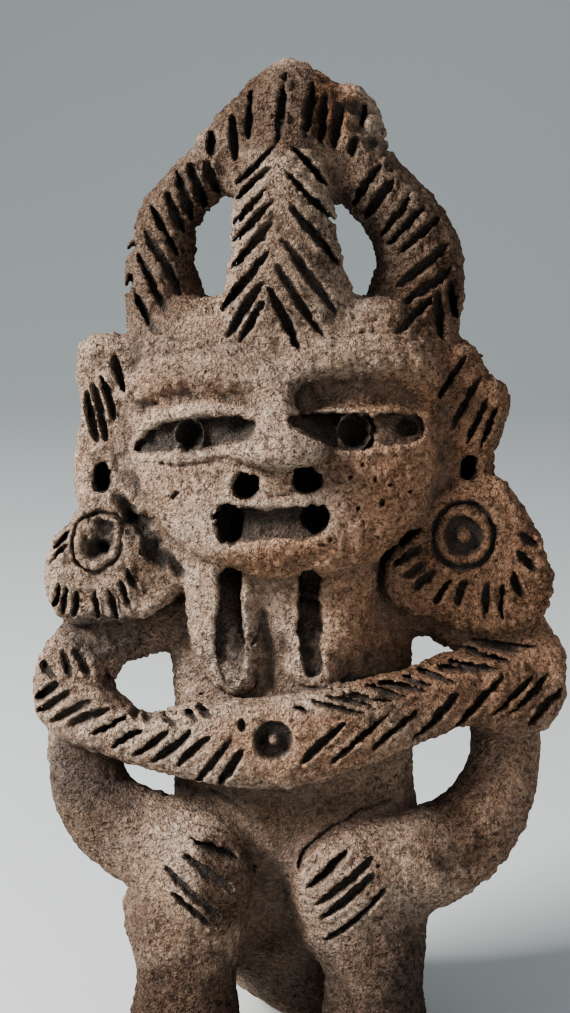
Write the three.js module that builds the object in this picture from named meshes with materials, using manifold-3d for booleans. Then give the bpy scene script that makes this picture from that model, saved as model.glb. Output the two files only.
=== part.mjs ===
// A hand-modelled fired-clay deity figurine: one solid, sitting on a round seat behind its two legs.
// Millimetres, +Z up, the front faces -Y. The figure is modelled upright, then leaned back and
// trimmed flat where its soles and seat meet the table.
import * as THREE from "three";
import { mergeVertices } from "three/addons/utils/BufferGeometryUtils.js";
import Module from "manifold-3d";

const wasm = await Module();
wasm.setup();

// Whole figure
const leanBack = THREE.MathUtils.degToRad(6);
const clay = { color: 0x7d5f4c, roughness: 0.92, metalness: 0 };
const groundBlock = 200;
const weld = 1e-4;

// Masses built of level rounds: z, centre x, centre y, half width, half depth
const torso = {
  square: 2.2,
  rounds: [
    [12, 1.5, 9, 9, 7],
    [19, 0.5, 5, 16, 12],
    [27, 0.5, 1.5, 22, 16],
    [37, 1.5, 0, 27, 17.5],
    [48, 2, -0.5, 26.5, 18.5],
    [60, 1.7, -1, 25.3, 19],
    [74, 1.6, -1, 25.2, 17.5],
    [88, 1.4, 0, 25, 16],
    [104, 0.9, 0, 23, 15],
    [118, 0.5, 2, 20, 12],
  ],
};
const head = {
  square: 2.6,
  rounds: [
    [105.2, 0.5, -17.5, 6, 7],
    [108, 0.5, -15.5, 16.5, 11],
    [111.9, 0, -12.5, 22.8, 14.5],
    [116.8, 0.5, -9.2, 27.8, 17.6],
    [122.6, 0, -7, 31, 19.4],
    [130.6, -0.4, -5, 32.8, 20.2],
    [138.6, -0.2, -4, 33.4, 19.8],
    [148.8, 0.6, -3, 32.8, 18.8],
    [155, 1.2, -3, 32.2, 17.5],
    [159.6, 1.5, -3, 29.5, 14],
  ],
};
const legs = [
  {
    name: "left",
    square: 2.4,
    rounds: [
      [-6, -21.6, -19.5, 11.6, 14],
      [2, -21.4, -19.5, 12, 14],
      [11, -21, -19, 11.4, 12.5],
      [18, -20.8, -18.5, 10.2, 11],
      [30, -20.7, -17, 10.6, 11.5],
      [40, -20, -13, 10, 11],
    ],
  },
  {
    name: "right",
    square: 2.4,
    rounds: [
      [-6, 18.8, -19.5, 11, 14],
      [2, 18.6, -19.5, 11.2, 14],
      [11, 18.3, -19, 10.6, 12.5],
      [18, 18.2, -18.5, 9.7, 11],
      [30, 17.9, -17, 10.6, 11.5],
      [40, 16, -13, 11, 11],
    ],
  },
];
const seat = {
  square: 2.2,
  rounds: [
    [-1, 10.5, 15.5, 10, 8],
    [2.5, 9, 15.5, 13.8, 10.6],
    [8, 6.4, 15, 18.2, 13.3],
    [16, 4.6, 14, 21, 15],
    [28, 3.4, 10.5, 22, 14],
    [42, 2.5, 5, 21, 11],
  ],
};

// Round masses: centre, half sizes
const thighs = [
  { at: [-21.3, -12, 33], half: [12.8, 15.5, 10.6] },
  { at: [15.2, -12, 36.5], half: [14.6, 15.5, 16] },
];
const hands = [
  { at: [-16.8, -19.5, 43.6], half: [10.4, 9, 10.2] },
  { at: [12.2, -20, 42], half: [11.4, 9, 10.8] },
];
const crownLumps = [
  { at: [11.4, -4, 198.2], half: [6, 7.5, 5.4] },
  { at: [17, -3, 196.4], half: [2.7, 5, 4] },
];

// Coils of clay: the points they run through, with half width across the front and half depth
const coils = {
  archLeft: {
    path: [[-24, -5, 151], [-24.6, -5, 160.3], [-25.4, -5, 166], [-24.9, -5, 171], [-23.2, -5, 176.8],
      [-19.5, -5, 181], [-15.3, -5, 186], [-11.8, -5, 191], [-8, -5, 194.8], [-4, -5, 197.4], [1, -5, 199.4]],
    wide: [7.2, 8.6, 7.6, 7.1, 6.5, 6.2, 5.9, 5.5, 5.9, 7, 8.4],
    deep: [9, 9, 9, 8.8, 8.6, 8.4, 8.2, 8, 8.2, 8.4, 8.8],
  },
  archRight: {
    path: [[27.4, -5, 151], [26.8, -5, 160.3], [27.6, -5, 165.5], [26.8, -5, 170.8], [24.8, -5, 175.2],
      [21.4, -5, 179.6], [18.2, -5, 183], [15, -5, 187.5], [12, -5, 192.4], [7.6, -5, 196.6], [1, -5, 199.4]],
    wide: [8, 9.8, 9.1, 8.6, 7.7, 7, 7, 6.9, 6.7, 7.3, 8.4],
    deep: [9, 9, 9, 8.8, 8.6, 8.6, 8.4, 8.4, 8.4, 8.4, 8.8],
  },
  braid: {
    path: [[0.4, -7, 199.6], [-0.2, -11, 188], [-0.4, -13, 178], [-0.3, -14, 169], [0, -15, 161],
      [0.2, -14.5, 151]],
    wide: [7, 8.4, 10.1, 10.6, 12.8, 15],
    deep: [6.5, 8, 8.6, 9, 9, 6.5],
  },
  shoulderLeft: {
    path: [[-16, 0, 91.4], [-30, -1, 89.9], [-41, -4, 86.4]],
    wide: [7.6, 7.6, 8],
    deep: [8, 8, 8.5],
  },
  shoulderRight: {
    path: [[18, 0, 96.5], [32, -1, 95], [46, -4, 88]],
    wide: [8, 8, 8],
    deep: [8, 8, 8.5],
  },
  yoke: {
    path: [[-39.6, -5, 89.4], [-43.3, -8, 84.4], [-43.4, -11, 77.6], [-33.6, -14.5, 73.2],
      [-27, -16.6, 70.4],
      [-20, -19.2, 71], [-10, -22, 71.4], [1.5, -22.6, 71.8], [12, -21.2, 74.6], [25.5, -17.8, 78],
      [37.5, -13.5, 81], [47.6, -10, 79.8], [50.2, -7, 84.2], [48.6, -5, 89]],
    wide: [7.4, 8.2, 8.6, 6.4, 6, 7.4, 8.8, 9.2, 8.9, 7.6, 8, 10.2, 8.4, 7],
    deep: [7.5, 8, 7.6, 6.6, 6.5, 6.3, 6.2, 6.2, 6.2, 6.2, 6.6, 7.6, 7.4, 7],
  },
  armLeft: {
    path: [[-42.8, -4, 76], [-42.8, -6, 64], [-39.2, -9, 55], [-31.3, -12.5, 49.2], [-20, -17.5, 45.6]],
    wide: [6.8, 7.2, 8.7, 9.6, 9.4],
    deep: [7.5, 7.8, 8.6, 9, 9],
  },
  armRight: {
    path: [[46.4, -4, 76], [45.8, -6, 62], [41, -9.5, 52], [31.4, -14, 45.8], [17, -18, 44]],
    wide: [7.2, 7.4, 8.9, 10.7, 10],
    deep: [7.5, 7.8, 8.6, 9, 9],
  },
  pendantLeft: {
    path: [[-10, -14, 108], [-10.4, -17.5, 96], [-9.8, -18, 85]],
    wide: [5, 5.9, 4.8],
    deep: [5, 6, 5],
  },
  pendantRight: {
    path: [[6.6, -14, 108], [6.2, -17.5, 96.4], [6.4, -18, 87]],
    wide: [6, 6.4, 5],
    deep: [5, 6, 5],
  },
  browLeft: {
    path: [[-30.5, -14.4, 142.4], [-23.4, -18.8, 146.3], [-13, -21.2, 146], [-4.5, -22.4, 143.2]],
    wide: [2.6, 3.8, 4, 3.2],
    deep: [2.4, 3.2, 3.4, 3],
  },
  browRight: {
    path: [[-1.5, -22.6, 142.8], [4.5, -21.8, 147.6], [13, -21.2, 149], [24, -19, 147.3],
      [30.5, -14.8, 142]],
    wide: [3, 4, 4.2, 3.8, 2.4],
    deep: [3, 3.4, 3.6, 3.4, 2.4],
  },
  noseBridge: {
    path: [[-2.2, -21.5, 142.5], [-1.6, -24.5, 136], [-0.8, -26.5, 131.4]],
    wide: [2.8, 4.4, 7.4],
    deep: [3, 4, 4.6],
  },
  lipLower: {
    path: [[-12, -24.6, 112.2], [-3, -26.2, 111.6], [7.4, -24.6, 112.4]],
    wide: [1.4, 2.2, 1.4],
    deep: [1.8, 2.4, 1.8],
  },
};
const noseBulb = { at: [-0.8, -26.2, 130.6], half: [9.4, 7, 5] };
const lipUpper = { at: [-2, -22.6, 121.4], half: [9, 4.6, 4.4] };

// Hollows under the brows, cut before the brows go on
const sockets = {
  left: {
    path: [[-30, -16.6, 137.4], [-23.4, -22, 141.2], [-15, -24.6, 141.6], [-7, -25.6, 138.8]],
    wide: [1.4, 2.3, 2.4, 1.6],
    deep: [3, 4, 4, 3],
  },
  right: {
    path: [[1.5, -25.6, 138.4], [5, -25.2, 141.6], [12, -24.6, 142.6], [21, -22.4, 141.8],
      [27.4, -18, 138.4]],
    wide: [2.4, 3.2, 3.4, 3.2, 1.6],
    deep: [5, 5.4, 5, 4.6, 3.4],
  },
};

// Slabs of clay: outline as x, z, with the front face and the thickness
const slabs = {
  crown: {
    outline: [[-17, 178], [-13.4, 178], [-8, 176], [8, 176], [12.4, 178], [17, 177.4], [19.4, 180.6],
      [16, 185.6], [12, 191], [7, 195.5], [1, 198], [-5, 196], [-10, 191], [-14, 186]],
    front: -13.4,
    thick: 15.4,
  },
  flapLeft: {
    outline: [[-42.6, 149], [-39.6, 152.4], [-35, 152.8], [-29, 150.5], [-28, 134], [-31, 117],
      [-42.2, 118], [-42.4, 138.6]],
    front: -13,
    thick: 14,
  },
  flapRight: {
    outline: [[30, 151], [37.5, 151], [40.6, 145.7], [45.6, 141.1], [43.9, 132.5], [42.2, 127], [43.4, 118],
      [31, 117], [28, 134]],
    front: -13,
    thick: 14,
  },
  lobeLeft: {
    outline: [[-41.5, 122], [-42.4, 118.2], [-44.6, 114.4], [-48, 110.2], [-49.4, 102.4], [-48, 97],
      [-44, 94.4],
      [-39.6, 94], [-29.6, 95.4], [-22.4, 99.6], [-19.4, 107.4], [-25, 119], [-33.4, 123]],
    front: -16,
    thick: 13,
  },
  lobeRight: {
    outline: [[30, 121], [23.3, 111], [20.4, 104.3], [22.4, 98.1], [31.6, 94.4], [43.9, 92.1], [51, 94.4],
      [54.4, 101.2], [52.8, 109.6], [48.2, 118], [42.4, 124]],
    front: -16,
    thick: 13,
  },
};
const slabRound = 2.4;

// Pressed rings: centre, the radii of the groove round it, of its pit and of a button in the pit,
// the upright stretch, and the depth of the clay face it is pressed in
const rings = [
  { at: [-38.4, 111.8], groove: [4.3, 5.4], pit: 3.6, button: 0, stretch: 1.32, face: -16 },
  { at: [35.5, 113.4], groove: [5.2, 6.7], pit: 3.9, button: 1.8, stretch: 1, face: -16 },
  { at: [-2.5, 73.4], groove: null, pit: 3.9, button: 1.7, stretch: 1, face: -28.4 },
];
const ringDepth = 1.8;

// Holes poked with a stick: x, z, half width, half height and depth below the surface
const pokes = {
  pupilLeft: [-19, 133.4, 2.8, 3, 9],
  pupilRight: [13.6, 134, 3, 3.1, 9],
  eyeCornerRight: [24.2, 134.6, 2.4, 2.2, 6],
  nostrilLeft: [-7.8, 123.8, 2.8, 2.7, 8],
  nostrilRight: [4.1, 124.6, 2.9, 2.5, 8],
  mouthLeft: [-11.4, 116, 2.8, 4, 9],
  mouthRight: [5.9, 116.8, 3.1, 3.1, 9],
  earLeft: [-37.6, 124.2, 2, 2.9, 8],
  earRight: [37.4, 125.9, 2.1, 3, 8],
};

// Windows cut in the face: outline as x, z, and depth below the surface
const windows = {
  eyeLeft: {
    outline: [[-29.8, 130.8], [-26, 135.2], [-19.2, 136.6], [-6.4, 136], [-6.8, 133.4], [-16.4, 130.4],
      [-26.9, 129.9]],
    depth: 2.6,
  },
  eyeRightInner: {
    outline: [[0.8, 136.6], [11.7, 137.2], [16.6, 136.2], [16.6, 131.2], [11.8, 130.6], [6.5, 132.9]],
    depth: 3.2,
  },
  eyeRightOuter: {
    outline: [[18, 136.9], [22.6, 137.3], [27, 136.5], [27.4, 133.2], [26.4, 131.6], [18, 131.4]],
    depth: 1.8,
  },
  mouth: { outline: [[-11, 118.6], [-3, 119], [6, 118.8], [6, 114], [-3, 113.4],
    [-11, 113.6]], depth: 2.8 },
};
const slots = [
  { at: [-10.8, -24.6, 95.6], half: [2.5, 7.6, 10.8] },
  { at: [5.3, -24.6, 95.8], half: [2.2, 7.6, 10.4] },
];

// Rows of tool marks: guide lines for their two ends as x, z, their number, half width and depth
const marks = {
  archLeft: {
    from: [[-30.6, 162.5], [-29.5, 172.1], [-25.1, 180.2], [-15.9, 187.8]],
    to: [[-26.1, 152.6], [-20.8, 161.1], [-20.6, 170.9], [-13.2, 181.2]],
    count: 8, half: 0.8, depth: 1.9,
  },
  crown: {
    from: [[-15, 194.1], [-10.1, 197.7], [-4.5, 203.3], [0, 204.9], [5.3, 202.9], [11, 199.5],
      [15.8, 199.1]],
    to: [[-14.8, 188.2], [-9.9, 187.4], [-5.7, 191.7], [-2, 190.9], [3.6, 190.8], [9.3, 190.2],
      [14.2, 192.5]],
    count: 8, half: 0.8, depth: 1.9,
  },
  archRight: {
    from: [[19.1, 186.5], [25.2, 181.2], [30.8, 176.2], [32.9, 167], [29.4, 160.5]],
    to: [[13, 178.5], [18.8, 172.5], [22, 168.1], [23.2, 159.1], [21.9, 152.8]],
    count: 8, half: 0.8, depth: 1.9,
  },
  archRightFoot: {
    from: [[30.4, 161.3], [32.9, 162.9]],
    to: [[31.3, 151.8], [34, 156.2]],
    count: 2, half: 0.8, depth: 1.6,
  },
  archLeftEdge: {
    from: [[-29.6, 174.5], [-30.9, 166.4], [-31.3, 161.2]],
    to: [[-32.2, 171.5], [-32.6, 161.4], [-32, 155.8]],
    count: 4, half: 0.7, depth: 1.5, press: [1, 0.6, 0],
  },
  braidLeft: {
    from: [[-1.9, 189.7], [-3.1, 182.9], [-2.7, 175.4], [-3.7, 165.8], [-4.5, 158.2]],
    to: [[-8, 182.8], [-9, 174.8], [-10, 165.4], [-12.2, 157.4], [-9.1, 150.8]],
    count: 8, half: 0.8, depth: 1.9,
  },
  braidRight: {
    from: [[1.2, 189], [-0.2, 181.8], [-1.2, 172.9], [-1.7, 167.2], [-4, 160.5]],
    to: [[7.5, 181.8], [9.2, 173.5], [9.5, 158.5], [7.2, 152.2], [1, 150.4]],
    count: 7, half: 0.8, depth: 1.9,
  },
  flapLeft: {
    from: [[-39.4, 140.9], [-36.9, 146.8], [-33.9, 148.8]],
    to: [[-37.7, 130.5], [-35, 136.5], [-32.8, 140.5]],
    count: 4, half: 0.7, depth: 1.5,
  },
  flapRight: {
    from: [[36.1, 149], [39.7, 144.5], [42.6, 138.3]],
    to: [[32, 140.1], [35, 133.3], [38.5, 129.7]],
    count: 4, half: 0.7, depth: 1.5,
  },
  lobeLeft: {
    from: [[-44.1, 114.7], [-45.8, 109.4], [-45.5, 103.8], [-41.9, 101.8], [-36.3, 101.8],
      [-31.8, 105.8], [-29.2, 109.4], [-29.6, 113.5]],
    to: [[-46.3, 113.3], [-48.2, 107], [-47.2, 97.7], [-42.6, 95.9], [-34.3, 96.1], [-29.1, 100.5],
      [-24.4, 104.6], [-23, 110]],
    count: 13, half: 0.7, depth: 1.5,
  },
  lobeRight: {
    from: [[28, 114.7], [29, 108.6], [33.7, 103.8], [41.1, 102.6], [45.9, 105.6], [47.6, 110],
      [47.3, 115.5]],
    to: [[20.6, 107.4], [23.4, 103.4], [29.9, 98.3], [40.6, 95.1], [48.3, 99.9], [51.7, 105.8],
      [51.6, 111.1]],
    count: 11, half: 0.7, depth: 1.5,
  },
  yokeLeftLower: {
    from: [[-45.2, 84.1], [-44, 81.7], [-38.1, 80.5], [-31.8, 76.9], [-22.8, 74.6], [-14.5, 73],
      [-8.3, 70.2]],
    to: [[-49.8, 81.7], [-49.4, 77.9], [-46.5, 75.8], [-39, 73.2], [-31.1, 69], [-22.4, 66.7],
      [-14.1, 64.3]],
    count: 11, half: 0.8, depth: 1.8,
  },
  yokeLeftUpper: {
    from: [[-48.9, 88.1], [-45.5, 89.9], [-37.5, 87.9], [-29.4, 79.4], [-23.8, 77.9], [-16.6, 81]],
    to: [[-46.9, 84.5], [-43.4, 84.1], [-34.8, 81.8], [-27.4, 75.9], [-21.4, 74.7], [-14.2, 77.1]],
    count: 9, half: 0.65, depth: 1.4,
  },
  yokeRightLower: {
    from: [[11.9, 75.8], [23.7, 78], [34.6, 81.2], [44.3, 85.3], [52.8, 86.1], [55.4, 82.7]],
    to: [[2.6, 66.2], [13, 68], [25.1, 71.9], [33.3, 74.4], [43.4, 76.8], [48.6, 74.4]],
    count: 9, half: 0.8, depth: 1.8,
  },
  yokeRightUpper: {
    from: [[4.8, 79.4], [13.6, 82.6], [24.2, 84.9], [32.9, 87.7], [39.7, 91.3]],
    to: [[17.4, 76.7], [27, 79.6], [34, 82.4], [45.5, 84.1], [51.9, 88.9]],
    count: 7, half: 0.5, depth: 1,
  },
  fingersLeft: {
    from: [[-18.8, 53.8], [-20.4, 51.3], [-24.1, 48.7], [-23, 43.5]],
    to: [[-9.4, 49.3], [-10.4, 43.9], [-12.6, 38.2], [-14.2, 35.4]],
    count: 4, half: 0.8, depth: 1.8,
  },
  fingersRight: {
    from: [[11.7, 51.3], [16.6, 50], [17.8, 47.2], [19.4, 43.5]],
    to: [[4.1, 43.9], [5.5, 40.6], [7.1, 37.6], [7.5, 32.7]],
    count: 4, half: 0.8, depth: 1.8,
  },
};

// Fineness of the faceted solid
const coilSides = 10;
const stripSides = 6;
const stripLimit = 4.5;
const coilStep = 9;
const roundSides = 16;
const ballSides = [10, 7];
const holeSides = 8;
const holeTaper = 0.8;
const ringSides = 12;

// Presses start at farFront, and cutters reach out of the clay by farCut or lip, with their tips
// drawn on past the two ends of a mark by tipReach of its half length
const farFront = -80;
const farCut = 8;
const lip = 2;
const tipReach = 0.36;

const up = new THREE.Vector3(0, 0, 1);
const inward = new THREE.Vector3(0, 1, 0);

// A closed geometry as a solid that can be joined and cut.
function solidOf(geometry) {
  const loose = geometry.index ? geometry.toNonIndexed() : geometry;
  const bare = new THREE.BufferGeometry().setAttribute("position", loose.getAttribute("position"));
  const merged = mergeVertices(bare, weld);
  return new wasm.Manifold(
    new wasm.Mesh({
      numProp: 3,
      vertProperties: merged.attributes.position.array,
      triVerts: new Uint32Array(merged.index.array),
    }),
  );
}

// A solid back as a geometry.
function geometryOf(solid) {
  const mesh = solid.getMesh();
  return new THREE.BufferGeometry()
    .setAttribute("position", new THREE.BufferAttribute(new Float32Array(mesh.vertProperties), 3))
    .setIndex(new THREE.BufferAttribute(new Uint32Array(mesh.triVerts), 1));
}

// Points and triangles as a solid with its faces outwards.
function outwards(points, index) {
  const geometry = new THREE.BufferGeometry().setFromPoints(points).setIndex(index);
  const solid = solidOf(geometry);
  return solid.volume() > 0 ? solid : solidOf(geometry.setIndex([...index].reverse()));
}

// The skin through rings of points, closed over both ends, as a solid with its faces outwards.
function skin(rings) {
  const sides = rings[0].length;
  const points = rings.flat();
  const ends = [rings[0], rings[rings.length - 1]].map((ring) =>
    ring.reduce((sum, p) => sum.add(p), new THREE.Vector3()).divideScalar(sides),
  );
  const index = [];
  for (let r = 0; r + 1 < rings.length; r++) {
    for (let s = 0; s < sides; s++) {
      const a = r * sides + s;
      const b = r * sides + ((s + 1) % sides);
      index.push(a, b, b + sides, a, b + sides, a + sides);
    }
  }
  const first = points.length;
  const lastRing = (rings.length - 1) * sides;
  for (let s = 0; s < sides; s++) {
    const next = (s + 1) % sides;
    index.push(first, next, s);
    index.push(first + 1, lastRing + s, lastRing + next);
  }
  return outwards([...points, ...ends], index);
}

// A value between those in a list, at a place counted in list steps.
function between(list, place) {
  const i = Math.min(Math.floor(place), list.length - 2);
  return THREE.MathUtils.lerp(list[i], list[i + 1], place - i);
}

// A rolled coil of clay with rounded ends.
function coil({ path, wide, deep }) {
  const curve = new THREE.CatmullRomCurve3(path.map((p) => new THREE.Vector3(...p)));
  const spans = path.length - 1;
  const steps = Math.max(2, Math.round(curve.getLength() / coilStep));
  const sides = Math.max(...wide) > stripLimit ? coilSides : stripSides;
  const ring = (t, along, scale) => {
    const centre = curve.getPoint(t);
    const tangent = curve.getTangent(t);
    const across = new THREE.Vector3().crossVectors(inward, tangent).normalize();
    const outward = new THREE.Vector3().crossVectors(tangent, across).normalize();
    const a = between(wide, t * spans) * scale;
    const b = between(deep, t * spans) * scale;
    return Array.from({ length: sides }, (_, s) => {
      const turn = (2 * Math.PI * s) / sides;
      return centre
        .clone()
        .addScaledVector(tangent, along)
        .addScaledVector(across, a * Math.cos(turn))
        .addScaledVector(outward, b * Math.sin(turn));
    });
  };
  const dome = Math.SQRT1_2;
  const rings = [ring(0, -wide[0] * dome, dome)];
  for (let i = 0; i <= steps; i++) rings.push(ring(i / steps, 0, 1));
  rings.push(ring(1, wide[spans] * dome, dome));
  return skin(rings);
}

// A mass of clay through level rounds, squarer than an ellipse where square is over 2.
function tower({ square, rounds }) {
  const power = 2 / square;
  const bend = (v) => Math.sign(v) * Math.abs(v) ** power;
  return skin(
    rounds.map(([z, x, y, a, b]) =>
      Array.from({ length: roundSides }, (_, s) => {
        const turn = (2 * Math.PI * s) / roundSides;
        return new THREE.Vector3(x + a * bend(Math.cos(turn)), y + b * bend(Math.sin(turn)), z);
      }),
    ),
  );
}

// A ball of clay pressed to an oval.
function ball({ at, half }) {
  const geometry = new THREE.SphereGeometry(1, ...ballSides).rotateX(Math.PI / 2);
  return solidOf(geometry.scale(...half).translate(...at));
}

// A flat slab of clay with rounded edges, its outline seen from the front.
function slab({ outline, front, thick }) {
  const shape = new THREE.Shape(outline.map((corner) => new THREE.Vector2(...corner)));
  const geometry = new THREE.ExtrudeGeometry(shape, {
    depth: thick - 2 * slabRound,
    bevelThickness: slabRound,
    bevelSize: slabRound,
    bevelOffset: -slabRound,
    bevelSegments: 1,
  });
  return solidOf(geometry.rotateX(Math.PI / 2).translate(0, front + thick - slabRound, 0));
}

// Where a straight press from a place outside first meets the clay.
function touch(surface, origin, direction) {
  const ray = new THREE.Raycaster(origin, direction);
  return ray.intersectObject(surface)[0];
}

// Depth of the front surface at x, z.
function frontAt(surface, x, z) {
  return touch(surface, new THREE.Vector3(x, farFront, z), inward).point.y;
}

// A round hole poked straight in from the front.
function poke(surface, [x, z, halfWide, halfTall, depth]) {
  const front = frontAt(surface, x, z);
  const length = 2 * depth;
  const geometry = new THREE.CylinderGeometry(1, holeTaper, length, holeSides);
  return solidOf(geometry.scale(halfWide, 1, halfTall).translate(x, front, z));
}

// A window cut in from the front to an even depth below the curved face.
function window({ outline, depth }, surface) {
  const level = ([x, z], inset) => new THREE.Vector3(x, frontAt(surface, x, z) + inset, z);
  return skin([-farCut, depth].map((inset) => outline.map((corner) => level(corner, inset))));
}

// A ring-shaped trench, or a round pit where the inner radius is 0, turned about the front-back line.
function trench({ at, face, stretch }, inner, outer) {
  const section = [[inner, -ringDepth], [outer, -ringDepth], [outer, ringDepth], [inner, ringDepth]];
  if (inner > 0) section.push(section[0]);
  const profile = section.map(([r, h]) => new THREE.Vector2(r, h));
  const geometry = new THREE.LatheGeometry(profile, ringSides);
  return solidOf(geometry.scale(1, 1, stretch).translate(at[0], face, at[1]));
}

// One tool mark: a leaf-shaped jab, deepest in its middle and running out to both ends.
function gouge(surface, from, to, { half, depth, press = [0, 1, 0] }) {
  const direction = new THREE.Vector3(...press).normalize();
  const hits = [0, 0.5, 1].map((t) => {
    const x = THREE.MathUtils.lerp(from[0], to[0], t);
    const z = THREE.MathUtils.lerp(from[1], to[1], t);
    return touch(surface, new THREE.Vector3(x, 0, z).addScaledVector(direction, farFront), direction);
  });
  if (!hits.every(Boolean)) return null;
  const [start, middle, end] = hits.map((hit) => hit.point);
  const normal = hits[1].face.normal;
  const side = new THREE.Vector3().subVectors(end, start).cross(normal).normalize();
  const mouth = half * (1 + lip / depth);
  const point = (place, across, out) =>
    place.clone().addScaledVector(side, across).addScaledVector(normal, out);
  const tip = (place) => point(place.clone().lerp(middle, -tipReach), 0, lip / 2);
  const points = [
    tip(start),
    point(middle, mouth, lip),
    point(middle, -mouth, lip),
    point(middle, 0, -depth),
    tip(end),
  ];
  return outwards(points, [0, 2, 1, 0, 3, 2, 0, 1, 3, 4, 1, 2, 4, 2, 3, 4, 3, 1]);
}

// All the marks of a row, spaced evenly between its two guide lines.
function rowOfMarks(surface, row) {
  const guide = (points) => new THREE.SplineCurve(points.map((p) => new THREE.Vector2(...p)));
  const starts = guide(row.from);
  const ends = guide(row.to);
  return Array.from({ length: row.count }, (_, i) => {
    const t = i / (row.count - 1);
    return gouge(surface, starts.getPointAt(t).toArray(), ends.getPointAt(t).toArray(), row);
  }).filter(Boolean);
}

// A surface that presses can be aimed at.
function surfaceMesh(solid) {
  const mesh = new THREE.Mesh(geometryOf(solid), new THREE.MeshBasicMaterial({ side: THREE.DoubleSide }));
  mesh.geometry.computeBoundingSphere();
  return mesh;
}

// One body from many.
function join(solids) {
  return solids.reduce((sum, solid) => sum.add(solid));
}

// A body less its cutters.
function cut(body, cutters) {
  return cutters.reduce((rest, cutter) => rest.subtract(cutter), body);
}

// The clay masses pressed together.
function buildMasses() {
  const skull = cut(tower(head), Object.values(sockets).map(coil));
  return join([
    tower(torso),
    skull,
    ...legs.map(tower),
    tower(seat),
    ...[...thighs, ...hands, ...crownLumps, noseBulb, lipUpper].map(ball),
    ...Object.values(coils).map(coil),
    ...Object.values(slabs).map(slab),
  ]);
}

// Holes, windows, slots and rings.
function openFeatures(body) {
  const surface = surfaceMesh(body);
  return cut(body, [
    ...Object.values(windows).map((opening) => window(opening, surface)),
    ...Object.values(pokes).map((hole) => poke(surface, hole)),
    ...slots.map(ball),
    ...rings.map((ring) => trench(ring, ring.button, ring.pit)),
    ...rings.filter(({ groove }) => groove).map((ring) => trench(ring, ...ring.groove)),
  ]);
}

// The scored herringbones, rays and fingers.
function scoreMarks(body) {
  const surface = surfaceMesh(body);
  return cut(body, Object.values(marks).flatMap((row) => rowOfMarks(surface, row)));
}

// Leans the figure back and trims it level with the table, with its box centred over the origin.
function standUp(body) {
  const leaned = geometryOf(body).rotateX(-leanBack);
  const block = new THREE.BoxGeometry(groundBlock, groundBlock, groundBlock);
  const ground = block.translate(0, 0, -groundBlock / 2);
  const standing = geometryOf(solidOf(leaned).subtract(solidOf(ground)));
  standing.computeBoundingBox();
  const middle = standing.boundingBox.getCenter(new THREE.Vector3());
  return standing.translate(-middle.x, -middle.y, 0);
}

const figurine = new THREE.Mesh(
  standUp(scoreMarks(openFeatures(buildMasses()))),
  new THREE.MeshStandardMaterial(clay),
);
figurine.name = "deity_figurine";

const part = new THREE.Group();
part.add(figurine);
export default part;
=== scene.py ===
"""A hand-modelled deity figurine in fired clay, standing by its own weight on a plain floor.

The figure is shaped upright in millimetres, its front facing -Y, as a block of clay: masses are pressed
on, holes are cut, tool marks are scored and the surface is roughened. The finished skin is then leaned
back, trimmed level and moved into the part's own frame in metres.
"""

import logging
import math
from dataclasses import dataclass, field
from enum import Enum

import bpy
import numpy as np
import openvdb
from mathutils import Matrix, Vector


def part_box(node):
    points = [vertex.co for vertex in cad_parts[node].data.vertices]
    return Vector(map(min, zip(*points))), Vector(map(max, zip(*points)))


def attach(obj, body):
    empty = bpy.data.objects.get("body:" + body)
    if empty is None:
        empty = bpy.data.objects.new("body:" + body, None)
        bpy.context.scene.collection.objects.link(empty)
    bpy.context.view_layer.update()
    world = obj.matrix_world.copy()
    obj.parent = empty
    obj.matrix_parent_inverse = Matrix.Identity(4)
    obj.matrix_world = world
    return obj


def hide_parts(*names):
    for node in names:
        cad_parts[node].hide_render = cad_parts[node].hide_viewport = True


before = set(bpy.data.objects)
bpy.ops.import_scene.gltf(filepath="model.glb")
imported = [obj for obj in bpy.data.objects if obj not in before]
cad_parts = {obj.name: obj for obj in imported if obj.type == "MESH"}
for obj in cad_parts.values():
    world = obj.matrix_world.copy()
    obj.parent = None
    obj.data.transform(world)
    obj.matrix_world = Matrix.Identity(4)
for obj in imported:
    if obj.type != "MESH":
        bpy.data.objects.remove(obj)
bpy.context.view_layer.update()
log = logging.getLogger("figurine")

Grid = np.ndarray
Point2 = tuple[float, float]
Point3 = tuple[float, float, float]
Region = tuple[slice, slice, slice]
Socket = bpy.types.NodeSocket

NODE = "deity_figurine"
METRES = 0.001


class Joint(Enum):
    """How far the clay is smeared over the joint where a piece is pressed on, in millimetres."""

    LAID = 0.7
    PRESSED = 1.5
    SMEARED = 2.6
    MERGED = 4.5


class Tool(Enum):
    """What cuts a mark: how square the walls are, how far the ends taper and how high the burr is."""

    BLADE = (3.0, 0.4, 0.4)
    BRUSH = (2.4, 0.35, 0.15)


@dataclass(frozen=True)
class Stance:
    """How the upright figure leans back and where it stands in the part's frame, in millimetres."""

    lean: float = math.radians(6)
    shift: Point3 = (-3.3019, 1.2086, 0.0)

    def turned(self, points: Grid) -> Grid:
        """Turns points of the upright figure to where they are on the table.

        Args:
            points: places in the upright figure, one in each row.

        Returns:
            The same places in the part's frame, in millimetres.
        """
        back = points[:, 1] * math.cos(self.lean) + points[:, 2] * math.sin(self.lean)
        rise = points[:, 2] * math.cos(self.lean) - points[:, 1] * math.sin(self.lean)
        return np.column_stack([points[:, 0], back, rise]) + self.shift

    def matrix(self) -> Matrix:
        """The same turn and shift as a matrix in metres."""
        turn = Matrix.Rotation(-self.lean, 4, "X")
        return Matrix.Translation(Vector(self.shift) * METRES) @ turn


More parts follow.
